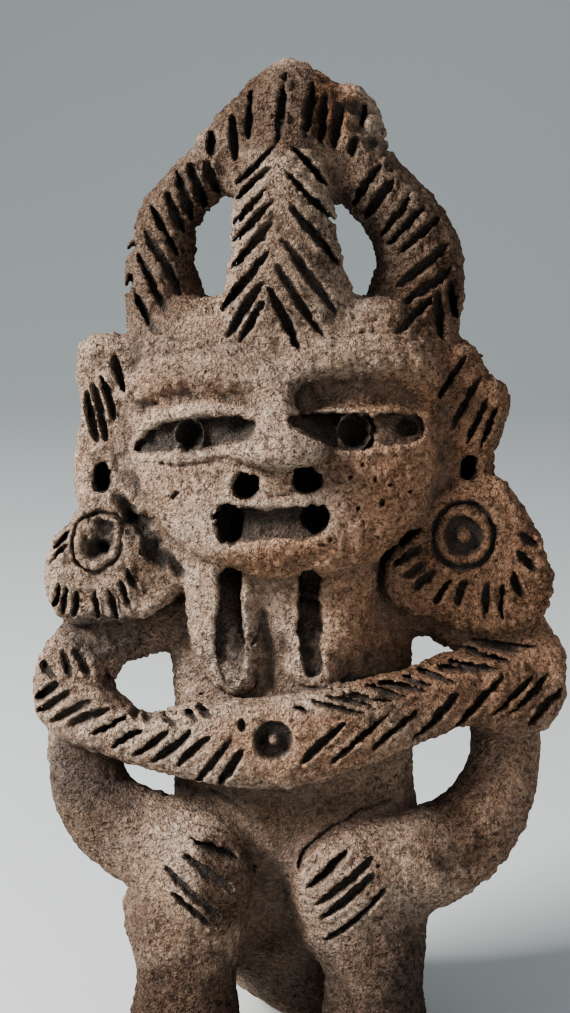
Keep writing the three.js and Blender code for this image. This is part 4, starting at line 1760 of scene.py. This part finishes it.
@dataclass(frozen=True)
class PatinaAndShade:
    """Where the fire and handling left the clay burnt dark, red or ashy grey, and where shade is painted
    on as burnt and red patches: on the legs, between the legs, on the torso behind the band, on the
    figure's right side, on the chin, under the nose and in the recesses of the brows and lobes.
    """

    # Burnt dark on the headdress; painted shade on the legs, between the legs, on the torso behind the
    # band, on the right of the band, under the nose and in the lobe and brow recesses.
    burnt_and_shade: tuple[Smudge, ...] = (
        Smudge((-26, -5, 172), (12, 30, 24), 0.76),
        Smudge((27, -5, 172), (13, 30, 24), 0.72),
        Smudge((-2, -5, 197), (15, 30, 11), 0.85),
        Smudge((0, -16, 165), (12, 14, 22), 0.5),
        Smudge((0, -16, 151), (34, 16, 5), 0.45),
        Smudge((0, -20, 146), (30, 14, 9), 0.36),
        Smudge((-20, -20, 141.4), (13, 9, 3.2), 0.15),
        Smudge((-2, -27, 124), (8, 7, 3.4), 0.15),
        Smudge((9, -24, 128), (4.5, 9, 6), 0.5),
        Smudge((0, -26, 132), (11, 10, 9), 0.2),
        Smudge((-21, -20, 8), (17, 26, 26), 0.94),
        Smudge((19, -20, 10), (17, 26, 30), 0.86),
        Smudge((-38, -8, 58), (14, 16, 18), 0.8),
        Smudge((-23, -14, 32), (15, 18, 11), 0.66),
        Smudge((-12, -24, 44), (7, 14, 11), 0.8),
        Smudge((-3, -14, 38), (9, 14, 16), 0.8),
        Smudge((33, -16, 50), (9, 14, 8), 0.72),
        Smudge((13, -26, 43), (11, 10, 12), 0.35),
        Smudge((-11.5, -22, 70), (7, 9, 6), 0.35),
        Smudge((18, -20, 79), (13, 10, 6), 0.55),
        Smudge((-38, -8, 92), (9, 14, 5), 0.5),
        Smudge((42, -10, 58), (16, 20, 20), 0.36),
        Smudge((0, -8, 54), (26, 16, 18), 0.86),
        Smudge((38, -14, 106), (20, 12, 18), 0.5),
        Smudge((-28, -14, 109), (5, 8, 9), 0.6),
        Smudge((-13, -5, 186), (9, 30, 9), 0.6),
        Smudge((16, -5, 185), (9, 30, 9), 0.6),
        Smudge((36, -15, 80), (24, 14, 12), 0.5),
        Smudge((38, -10, 136), (12, 14, 18), 0.5),
        Smudge((-40, -10, 84), (10, 14, 8), 0.3),
    )
    # Reddened clay on the crown and in smaller patches, and warm painted shade over the figure's right
    # side, the chin, under the nose and in the left brow recess.
    red_and_shade: tuple[Smudge, ...] = (
        Smudge((36, -10, 112), (34, 30, 44), 1.0),
        Smudge((34, -10, 150), (22, 30, 20), 0.45),
        Smudge((-2, -27, 124), (8, 7, 3.4), 0.35),
        Smudge((10, -24, 108), (24, 12, 8), 0.85),
        Smudge((4, -24, 72), (22, 12, 8), 0.6),
        Smudge((9, -5, 198), (6, 14, 9), 1.0),
        Smudge((44, -8, 56), (16, 20, 20), 0.5),
        Smudge((-20, -20, 141.6), (13, 9, 3.4), 0.45),
        Smudge((-18, -12, 45), (10, 12, 8), 0.5),
    )
    ashy: tuple[Smudge, ...] = (
        Smudge((-14, -18, 60), (9, 9, 4), 1.0),
        Smudge((-40, -8, 66), (10, 12, 18), 0.8),
        Smudge((-38, -8, 92), (9, 14, 6), 0.9),
        Smudge((-30, -10, 52), (14, 16, 9), 0.4),
        Smudge((42, -8, 60), (14, 20, 20), 0.3),
        Smudge((-8, -18, 88), (9, 9, 12), 0.4),
        Smudge((-4, -24, 146), (6, 6, 3), 0.3),
        Smudge((20, -14, 18), (16, 18, 26), 0.75),
        Smudge((-20, -14, 10), (16, 18, 14), 0.5),
    )

    def covers(self, points: Grid) -> dict[str, Grid]:
        """Works out how far each point is covered by the burnt patches with their painted shade, the red
        patches with their warm painted shade, and the ashy patches.

        Args:
            points: places in the upright figure, one in each row.

        Returns:
            The cover of each point by the name of its colour.
        """
        layers = {"burnt_and_shade": self.burnt_and_shade, "red_and_shade": self.red_and_shade, "ashy": self.ashy}
        covers = {}
        for name, layer in layers.items():
            covers[name] = np.max([smudge.cover(points) for smudge in layer], axis=0)
        return covers


@dataclass(frozen=True)
class Grain:
    """The noises that the clay's colour and its relief share, and the place that they are read at."""

    place: Socket
    patch: Socket
    fibre: Socket
    grit: Socket
    pale: Socket
    dark: Socket


@dataclass(frozen=True)
class FiredClay:
    """The fired clay's finish: earth tones, fibrous grit, grime and painted shade in the hollows, worn
    edges with a painted highlight, and patches with painted shade.
    """

    name: str = "fired_clay"
    tan: Point3 = (0.435, 0.302, 0.223)
    umber: Point3 = (0.170, 0.106, 0.072)
    ash: Point3 = (0.200, 0.176, 0.162)
    soot: Point3 = (0.066, 0.045, 0.034)
    # Dark grey-brown laid in holes, cuts and hollows: grime, and painted shade there.
    grime_and_shade: Point3 = (0.062, 0.052, 0.045)
    # Brown of painted shade laid in the sheltered recesses between parts, with some dirt.
    shade: Point3 = (0.225, 0.160, 0.122)
    temper: Point3 = (0.51, 0.405, 0.315)
    # Dark tone multiplied over the burnt patches and over painted shade.
    burnt_and_shade: Point3 = (0.27, 0.235, 0.215)
    # Warm tone multiplied over the red patches and over warm painted shade.
    red_and_shade: Point3 = (0.88, 0.715, 0.61)
    slate: Point3 = (0.62, 0.70, 0.80)
    bump: float = 2.0
    gloss: float = 0.12
    broad_size: float = 14.0
    patch_size: float = 11.0
    fibre_size: float = 1.35
    grit_size: float = 0.95
    speck_size: float = 0.45
    pit_size: float = 2.1
    pale_threads: Point2 = (2.2, 0.06)
    dark_threads: Point2 = (1.8, 0.05)

    def make(self) -> bpy.types.Material:
        """Builds the material.

        Returns:
            The material.
        """
        material = bpy.data.materials.new(self.name)
        material.use_nodes = True
        tree = material.node_tree
        tree.nodes.clear()
        bench = NodeBench(tree)
        place = bench.node("ShaderNodeTexCoord").outputs["Object"]
        grain = Grain(
            place=place,
            patch=bench.noise(place, self.patch_size, 4, 0.62),
            fibre=bench.noise(place, self.fibre_size, 3, 0.62, 1.6),
            grit=bench.noise(place, self.grit_size, 1.5, 0.6, 0.6),
            pale=bench.threads(place, *self.pale_threads),
            dark=bench.threads(place, *self.dark_threads),
        )
        shader = bench.node("ShaderNodeBsdfPrincipled")
        shader.inputs["Specular IOR Level"].default_value = self.gloss
        bench.feed(self.colour(bench, grain), shader.inputs["Base Color"])
        bench.feed(bench.scaled(grain.grit, 0.8, 1.0, invert=True), shader.inputs["Roughness"])
        bench.feed(self.relief(bench, grain), shader.inputs["Normal"])
        output = bench.node("ShaderNodeOutputMaterial")
        bench.feed(shader.outputs["BSDF"], output.inputs["Surface"])
        return material

    def colour(self, bench: "NodeBench", grain: Grain) -> Socket:
        """Lays the colours over each other, from the bare clay to the grime and painted shade.

        Args:
            bench: makes the nodes.
            grain: patches, fibres, grit, pale threads of temper and dark threads of burnt straw.

        Returns:
            The finished colour.
        """
        broad = bench.noise(grain.place, self.broad_size, 5, 0.65)
        speck = bench.noise(grain.place, self.speck_size, 2, 0.6)
        shelter = bench.attribute("shelter")
        coats = (
            (self.umber, bench.ramp(grain.patch, 0.36, 0.64), 0.6),
            (self.ash, bench.ramp(grain.patch, 0.54, 0.36), 0.4),
            (self.temper, bench.ramp(grain.fibre, 0.54, 0.66), 0.45),
            (self.soot, bench.ramp(grain.fibre, 0.47, 0.36), bench.scaled(broad, -0.3, 1.4, invert=True)),
            # Lighter temper on convex edges: wear, and a painted highlight.
            (self.temper, bench.attribute("ridge"), 0.42),
            (self.temper, bench.ramp(grain.grit, 0.56, 0.7), 0.42),
            (self.soot, bench.ramp(grain.grit, 0.46, 0.34), bench.scaled(broad, -0.4, 1.5, invert=True)),
            (self.soot, bench.ramp(speck, 0.62, 0.7), 0.4),
            (self.temper, grain.pale, 0.6),
            (self.soot, grain.dark, 0.85),
        )
        colour = self.tan
        for coat, cover, share in coats:
            colour = bench.blend(colour, coat, bench.math("MULTIPLY", cover, share))
        # Multiplies in the burnt, red and ashy patches, the burnt and red ones also painting shade.
        drift = bench.scaled(broad, -0.9, 0.9, invert=True)
        for name, tone in (("burnt_and_shade", self.burnt_and_shade), ("red_and_shade", self.red_and_shade), ("ashy", self.slate)):
            cover = bench.attribute(name)
            slack = bench.math("MULTIPLY", cover, bench.math("SUBTRACT", 1.2, cover))
            uneven = bench.math("MULTIPLY", drift, slack)
            colour = bench.tinted(colour, tone, bench.ramp(bench.math("ADD", cover, uneven), 0.0, 1.0))
        # Painted shade with some dirt in sheltered recesses, then grime and painted shade in the hollows,
        # then in the holes and cuts.
        grime_and_shade_coats = (
            (self.shade, bench.ramp(shelter, 0.1, 0.9), 0.8),
            (self.grime_and_shade, bench.attribute("hollow"), 0.9),
            (self.grime_and_shade, bench.attribute("stain_and_shade"), bench.scaled(broad, 0.45, 1.45, invert=True)),
        )
        for coat, cover, share in grime_and_shade_coats:
            colour = bench.blend(colour, coat, bench.math("MULTIPLY", cover, share))
        return colour

    def relief(self, bench: "NodeBench", grain: Grain) -> Socket:
        """Raises the fibres and grit and sinks the finest pits.

        Args:
            bench: makes the nodes.
            grain: patches, fibres, grit, pale threads of temper and dark threads of burnt straw.

        Returns:
            The surface's direction.
        """
        pits = bench.ramp(bench.cells(grain.place, self.pit_size), 0.26, 0.1)
        steps = (
            ("ADD", grain.grit, 0.4),
            ("SUBTRACT", pits, 0.3),
            ("ADD", grain.pale, 0.08),
            ("SUBTRACT", grain.dark, 0.14),
        )
        height = grain.fibre
        for kind, part, share in steps:
            height = bench.math(kind, height, bench.math("MULTIPLY", part, share))
        bump = bench.node("ShaderNodeBump")
        bump.inputs["Strength"].default_value = 1.0
        bump.inputs["Distance"].default_value = self.bump * METRES
        bench.feed(height, bump.inputs["Height"])
        return bump.outputs["Normal"]


@dataclass(frozen=True)
class StudioFloor:
    """The plain pale floor's finish."""

    name: str = "pale_floor"
    colour: Point3 = (0.49, 0.515, 0.51)
    rough: float = 0.6

    def make(self) -> bpy.types.Material:
        """Builds the material.

        Returns:
            The material.
        """
        material = bpy.data.materials.new(self.name)
        material.use_nodes = True
        shader = material.node_tree.nodes["Principled BSDF"]
        shader.inputs["Base Color"].default_value = (*self.colour, 1)
        shader.inputs["Roughness"].default_value = self.rough
        return material


class NodeBench:
    """Makes and links a material's nodes."""

    def __init__(self, tree: bpy.types.NodeTree) -> None:
        """Keeps the tree that it works on."""
        self.tree = tree

    def node(self, kind: str) -> bpy.types.Node:
        """A new node of a kind."""
        return self.tree.nodes.new(kind)

    def feed(self, value: object, socket: Socket) -> None:
        """Links an output to a socket, or sets the socket to a number or colour.

        Args:
            value: an output, a number or a colour.
            socket: what it goes to.
        """
        if isinstance(value, bpy.types.NodeSocket):
            self.tree.links.new(value, socket)
        elif isinstance(value, tuple):
            socket.default_value = (*value, 1)
        else:
            socket.default_value = value

    def noise(self, place: Socket, size: float, detail: float, rough: float, curl: float = 0.0) -> Socket:
        """Makes noise.

        Args:
            place: where it is read.
            size: width of its patches, in millimetres.
            detail: how many finer layers it has.
            rough: how strong the finer layers are.
            curl: how far its patches are twisted.

        Returns:
            A value from 0 to 1.
        """
        node = self.node("ShaderNodeTexNoise")
        for name, value in (("Scale", 1 / (size * METRES)), ("Detail", detail), ("Roughness", rough)):
            node.inputs[name].default_value = value
        node.inputs["Distortion"].default_value = curl
        self.feed(place, node.inputs["Vector"])
        return node.outputs["Fac"]

    def threads(self, place: Socket, size: float, thin: float) -> Socket:
        """Draws short curling threads.

        Args:
            place: where they are read.
            size: about how far apart they lie, in millimetres.
            thin: how thin they are.

        Returns:
            A value that is 1 along each thread and 0 between them.
        """
        curls = self.noise(place, size, 2, 0.5, 1.2)
        away = self.math("ABSOLUTE", self.math("SUBTRACT", curls, 0.5), 0.0)
        breaks = self.ramp(self.noise(place, size * 0.7, 2, 0.6), 0.46, 0.56)
        return self.math("MULTIPLY", self.ramp(away, thin, 0.0), breaks)

    def cells(self, place: Socket, size: float) -> Socket:
        """Measures how far a place is from scattered points.

        Args:
            place: where it is read.
            size: about how far apart the points are, in millimetres.

        Returns:
            The distance, with the points about 1 apart.
        """
        node = self.node("ShaderNodeTexVoronoi")
        node.inputs["Scale"].default_value = 1 / (size * METRES)
        self.feed(place, node.inputs["Vector"])
        return node.outputs["Distance"]

    def attribute(self, name: str) -> Socket:
        """Reads a value stored on the mesh.

        Args:
            name: the value's name.

        Returns:
            The value.
        """
        node = self.node("ShaderNodeAttribute")
        node.attribute_name = name
        return node.outputs["Fac"]

    def scaled(self, value: Socket, low: float, high: float, invert: bool = False) -> Socket:
        """Maps low..high to 0..1, or with invert, 0..1 to low..high.

        Args:
            value: the value.
            low: the lower end.
            high: the upper end.
            invert: which way it is mapped.

        Returns:
            The mapped value.
        """
        node = self.node("ShaderNodeMapRange")
        way = "To" if invert else "From"
        node.inputs[way + " Min"].default_value = low
        node.inputs[way + " Max"].default_value = high
        self.feed(value, node.inputs["Value"])
        return node.outputs["Result"]

    def ramp(self, value: Socket, low: float, high: float) -> Socket:
        """Makes a soft step.

        Args:
            value: the value.
            low: where the step is 0.
            high: where the step is 1.

        Returns:
            The step.
        """
        node = self.node("ShaderNodeMapRange")
        node.interpolation_type = "SMOOTHSTEP"
        falling = high < low
        node.inputs["From Min"].default_value = high if falling else low
        node.inputs["From Max"].default_value = low if falling else high
        node.inputs["To Min"].default_value = 1.0 if falling else 0.0
        node.inputs["To Max"].default_value = 0.0 if falling else 1.0
        self.feed(value, node.inputs["Value"])
        return node.outputs["Result"]

    def math(self, kind: str, first: object, second: object) -> Socket:
        """Works out arithmetic on two values.

        Args:
            kind: the operation.
            first: the first value.
            second: the second value.

        Returns:
            The result.
        """
        node = self.node("ShaderNodeMath")
        node.operation = kind
        self.feed(first, node.inputs[0])
        self.feed(second, node.inputs[1])
        return node.outputs[0]

    def tinted(self, under: object, tone: Point3, cover: object) -> Socket:
        """Stains a colour.

        Args:
            under: the colour beneath.
            tone: what the colour is multiplied by.
            cover: how far it is stained, from 0 to 1.

        Returns:
            The stained colour.
        """
        stained = self.blend(under, tone, cover)
        stained.node.blend_type = "MULTIPLY"
        return stained

    def blend(self, under: object, over: object, cover: object) -> Socket:
        """Lays one colour over another.

        Args:
            under: the colour beneath.
            over: the colour on top.
            cover: how far it covers, from 0 to 1.

        Returns:
            The blended colour.
        """
        node = self.node("ShaderNodeMix")
        node.data_type = "RGBA"
        self.feed(cover, node.inputs[0])
        self.feed(under, node.inputs[6])
        self.feed(over, node.inputs[7])
        return node.outputs[2]


def sampled(values: Grid, low: Point3, spacing: float, points: Grid) -> Grid:
    """Reads a grid of values between its places.

    Args:
        values: the grid.
        low: where its first place is.
        spacing: how far apart its places are.
        points: where it is read, one point in each row.

    Returns:
        The value at each point.
    """
    place = (points - np.array(low)) / spacing
    cell = np.clip(np.floor(place).astype(np.int32), 0, np.array(values.shape) - 2)
    part = np.clip(place - cell, 0, 1)
    total = np.zeros(len(points), np.float32)
    for corner in np.ndindex(*[2] * values.ndim):
        weight = np.prod(np.where(corner, part, 1 - part), axis=1)
        total += weight * values[tuple((cell + corner).T)]
    return total


def mesh_of(name: str, points: Grid, faces: Grid) -> bpy.types.Mesh:
    """A mesh of points and faces.

    Args:
        name: the mesh's name.
        points: one point in each row.
        faces: one face in each row, all with the same number of corners.

    Returns:
        The mesh, shaded smooth.
    """
    mesh = bpy.data.meshes.new(name)
    count, corners = faces.shape
    mesh.vertices.add(len(points))
    mesh.vertices.foreach_set("co", np.ascontiguousarray(points, np.float32).ravel())
    mesh.loops.add(count * corners)
    mesh.loops.foreach_set("vertex_index", np.ascontiguousarray(faces, np.int32).ravel())
    mesh.polygons.add(count)
    mesh.polygons.foreach_set("loop_start", np.arange(0, count * corners, corners, dtype=np.int32))
    mesh.update(calc_edges=True)
    mesh.shade_smooth()
    return mesh


def points_of(mesh: bpy.types.Mesh) -> Grid:
    """Reads a mesh's points.

    Args:
        mesh: the mesh.

    Returns:
        Its points, one in each row.
    """
    points = np.empty(len(mesh.vertices) * 3, np.float32)
    mesh.vertices.foreach_get("co", points)
    return points.reshape(-1, 3)


@dataclass
class Figurine:
    """The whole figurine: its portions in the order they are made, its stance and its finish."""

    name: str = "clay_figurine"
    stance: Stance = Stance()
    portions: tuple[Portion, ...] = (Trunk(), Arms(), Face(), Ears(), Headdress(), Pendants(), Band())
    weathering: Weathering = Weathering()
    patina_and_shade: PatinaAndShade = PatinaAndShade()
    finish: FiredClay = FiredClay()
    clay: ClayBlock = field(default_factory=ClayBlock)
    most_triangles: int = 196000
    coarse: int = 2
    near_reach: float = 1.5
    wide_reach: float = 5.0
    front_only: Point2 = (10.5, 9.0)

    def build(self) -> bpy.types.Object:
        """Makes the figurine and sets it in the frame.

        Returns:
            The finished piece.
        """
        self.shape()
        mesh = self.thinned(self.skin())
        points = points_of(mesh)
        self.mark_finish(mesh, points)
        mesh.vertices.foreach_set("co", self.placed(points).astype(np.float32).ravel())
        mesh.materials.append(self.finish.make())
        mesh.update()
        piece = bpy.data.objects.new(self.name, mesh)
        bpy.context.scene.collection.objects.link(piece)
        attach(piece, "root")
        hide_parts(NODE)
        log.info("%s has %d triangles", piece.name, sum(len(p.vertices) - 2 for p in mesh.polygons))
        return piece

    def shape(self) -> None:
        """Models, pierces and scores every portion in turn."""
        for portion in self.portions:
            portion.model(self.clay)
            log.info("modelled %s", type(portion).__name__)
        self.clay.settle()
        for portion in self.portions:
            portion.pierce(self.clay)
            portion.score(self.clay)
        self.clay.impress()
        self.weathering.pierce(self.clay)
        log.info("pierced, scored and weathered")

    def skin(self) -> bpy.types.Mesh:
        """Skins the clay and roughens the skin.

        Returns:
            The mesh, in millimetres.
        """
        points, quads = self.clay.skin()
        a, b, c, d = (points[quads[:, corner]] for corner in range(4))
        if np.sum(a * (np.cross(b, c) + np.cross(c, d))) < 0:
            quads = quads[:, ::-1]
        mesh = mesh_of(self.name, points, quads)
        normals = np.empty(len(points) * 3, np.float32)
        mesh.vertex_normals.foreach_get("vector", normals)
        low = (self.clay.low[0], self.clay.low[2])
        cut = sampled(self.clay.relief, low, self.clay.grain, points[:, [0, 2]])
        calm = 1 - 0.6 * step(cut, 0.3, 1.2)
        points += normals.reshape(-1, 3) * (self.weathering.roughness(points) * calm)[:, None]
        mesh.vertices.foreach_set("co", points.ravel())
        mesh.update()
        return mesh

    def thinned(self, mesh: bpy.types.Mesh) -> bpy.types.Mesh:
        """Takes out the triangles that are least needed.

        Args:
            mesh: the mesh, which is used up.

        Returns:
            The thinner mesh.
        """
        holder = bpy.data.objects.new("thinning", mesh)
        bpy.context.scene.collection.objects.link(holder)
        thinner = holder.modifiers.new("thinner", "DECIMATE")
        thinner.ratio = min(1.0, self.most_triangles / (2 * len(mesh.polygons)))
        thinned = holder.evaluated_get(bpy.context.evaluated_depsgraph_get())
        result = bpy.data.meshes.new_from_object(thinned)
        bpy.data.objects.remove(holder)
        bpy.data.meshes.remove(mesh)
        result.name = self.name
        return result

    def mark_finish(self, mesh: bpy.types.Mesh, points: Grid) -> None:
        """Stores on the mesh where grime and painted shade go, where the worn edges with their painted
        highlight are, and how far each point is covered by the patches and their painted shade.

        Args:
            mesh: the finished mesh.
            points: its points in the upright figure.
        """
        clay = self.clay
        flat = points[:, [0, 2]]
        low = (clay.low[0], clay.low[2])
        behind = points[:, 1] - sampled(clay.front, low, clay.grain, flat)
        cut = sampled(np.maximum(clay.hollowed, step(clay.relief, 0.3, 1.5)), low, clay.grain, flat)
        every = slice(None, None, self.coarse)
        filled = np.clip(0.5 - clay.gap[every, every, every] / (2 * clay.grain), 0, 1)
        spacing = clay.grain * self.coarse
        near = sampled(blurred(filled, self.near_reach / spacing), clay.low, spacing, points)
        reach = self.wide_reach / spacing
        wide = sampled(blurred(blurred(filled, reach), reach), clay.low, spacing, points)
        values = {
            # Grime and painted shade inside the holes, windows and scored marks near the front.
            "stain_and_shade": cut * step(behind, -0.2, 0.9) * step(behind, *self.front_only),
            # Painted shade with grime in concave places, from how enclosed each point is.
            "hollow": step(near, 0.55, 0.8),
            # Convex edges, for the wear and painted highlight along them.
            "ridge": step(near, 0.46, 0.3),
            # Painted shade with some dirt in the broad recesses between parts.
            "shelter": step(wide, 0.4, 0.75),
            **self.patina_and_shade.covers(points),
        }
        for name, value in values.items():
            layer = mesh.attributes.new(name, "FLOAT", "POINT")
            layer.data.foreach_set("value", value.astype(np.float32))

    def placed(self, points: Grid) -> Grid:
        """Leans the figure back, trims it level and fits it to its box.

        Args:
            points: places in the upright figure, one in each row.

        Returns:
            The same places in the part's frame, in metres.
        """
        stood = self.stance.turned(points)
        stood[:, 2] = np.maximum(stood[:, 2], 0)
        low, high = (np.array(corner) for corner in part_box(NODE))
        own_low, own_high = stood.min(axis=0) * METRES, stood.max(axis=0) * METRES
        log.info("box before fitting %s %s, wanted %s %s", own_low, own_high, low, high)
        return low + (stood * METRES - own_low) * (high - low) / (own_high - own_low)


@dataclass(frozen=True)
class Lamp:
    """One soft window of light: where it is, what it points at, its width, its watts and its colour."""

    name: str
    at: Point3
    aim: Point3
    size: float
    power: float
    colour: Point3

    def hang(self) -> None:
        """Adds the light to the scene."""
        data = bpy.data.lights.new(self.name, "AREA")
        data.energy = self.power
        data.size = self.size
        data.color = self.colour
        lamp = bpy.data.objects.new(self.name, data)
        lamp.location = self.at
        lamp.rotation_euler = (Vector(self.aim) - Vector(self.at)).to_track_quat("-Z", "Y").to_euler()
        bpy.context.scene.collection.objects.link(lamp)


@dataclass
class Studio:
    """The plain pale floor, the soft lights and the camera."""

    stance: Stance = Stance()
    floor_finish: StudioFloor = StudioFloor()
    eye: Point3 = (0.0, -338.137, 151.540)
    pitch: float = math.radians(6)
    lens: float = 57.55
    sensor: float = 36.0
    floor_size: float = 3.0
    rise_at: float = 0.9
    rise: float = 1.2
    rise_steps: int = 24
    lamps: tuple[Lamp, ...] = (
        Lamp("key_window", (-0.62, -0.25, 0.58), (0, -0.01, 0.11), 0.30, 19.0, (1.0, 0.98, 0.95)),
        Lamp("fill_window", (0.45, -0.50, 0.26), (0, 0, 0.1), 0.5, 1.25, (1.0, 0.92, 0.84)),
    )
    sky: Point3 = (0.88, 0.95, 1.03)
    sky_strength: float = 0.46
    look: str = "AgX - Medium High Contrast"

    def build(self) -> None:
        """Sets up the floor, the lights and the camera."""
        self.lay_floor()
        for lamp in self.lamps:
            lamp.hang()
        self.surroundings()
        self.place_camera()

    def lay_floor(self) -> None:
        """The floor, curving up far behind the figurine."""
        turns = np.linspace(0, math.pi / 2, self.rise_steps)
        front = [(-self.floor_size, 0.0)]
        bend = [(self.rise_at + self.rise * math.sin(t), self.rise * (1 - math.cos(t))) for t in turns]
        profile = front + bend + [(self.rise_at + self.rise, self.floor_size)]
        half = self.floor_size
        points = np.array([(x, y, z) for y, z in profile for x in (-half, half)])
        rows = np.arange(len(profile) - 1) * 2
        faces = np.stack([rows, rows + 1, rows + 3, rows + 2], -1)
        floor = bpy.data.objects.new("floor", mesh_of("floor", points, faces))
        floor.data.materials.append(self.floor_finish.make())
        bpy.context.scene.collection.objects.link(floor)

    def surroundings(self) -> None:
        """Soft light from all round."""
        world = bpy.data.worlds.new("soft_room")
        world.use_nodes = True
        background = world.node_tree.nodes["Background"]
        background.inputs["Color"].default_value = (*self.sky, 1)
        background.inputs["Strength"].default_value = self.sky_strength
        bpy.context.scene.world = world

    def place_camera(self) -> None:
        """Stands the camera where the figurine is seen from."""
        data = bpy.data.cameras.new("camera")
        data.sensor_fit = "VERTICAL"
        data.sensor_height = self.sensor
        data.lens = self.lens
        data.clip_start = 0.01
        camera = bpy.data.objects.new("camera", data)
        bpy.context.scene.collection.objects.link(camera)
        aim = Matrix.Rotation(math.pi / 2 - self.pitch, 4, "X")
        camera.matrix_world = self.stance.matrix() @ Matrix.Translation(Vector(self.eye) * METRES) @ aim
        bpy.context.scene.camera = camera
        bpy.context.scene.view_settings.look = self.look


def main() -> None:
    """Builds the figurine and its studio."""
    logging.basicConfig(level=logging.INFO, format="%(name)s: %(message)s")
    piece = Figurine().build()
    log.info("built %s", piece.name)
    Studio().build()
    log.info("built the studio")


if __name__ == "__main__":
    main()
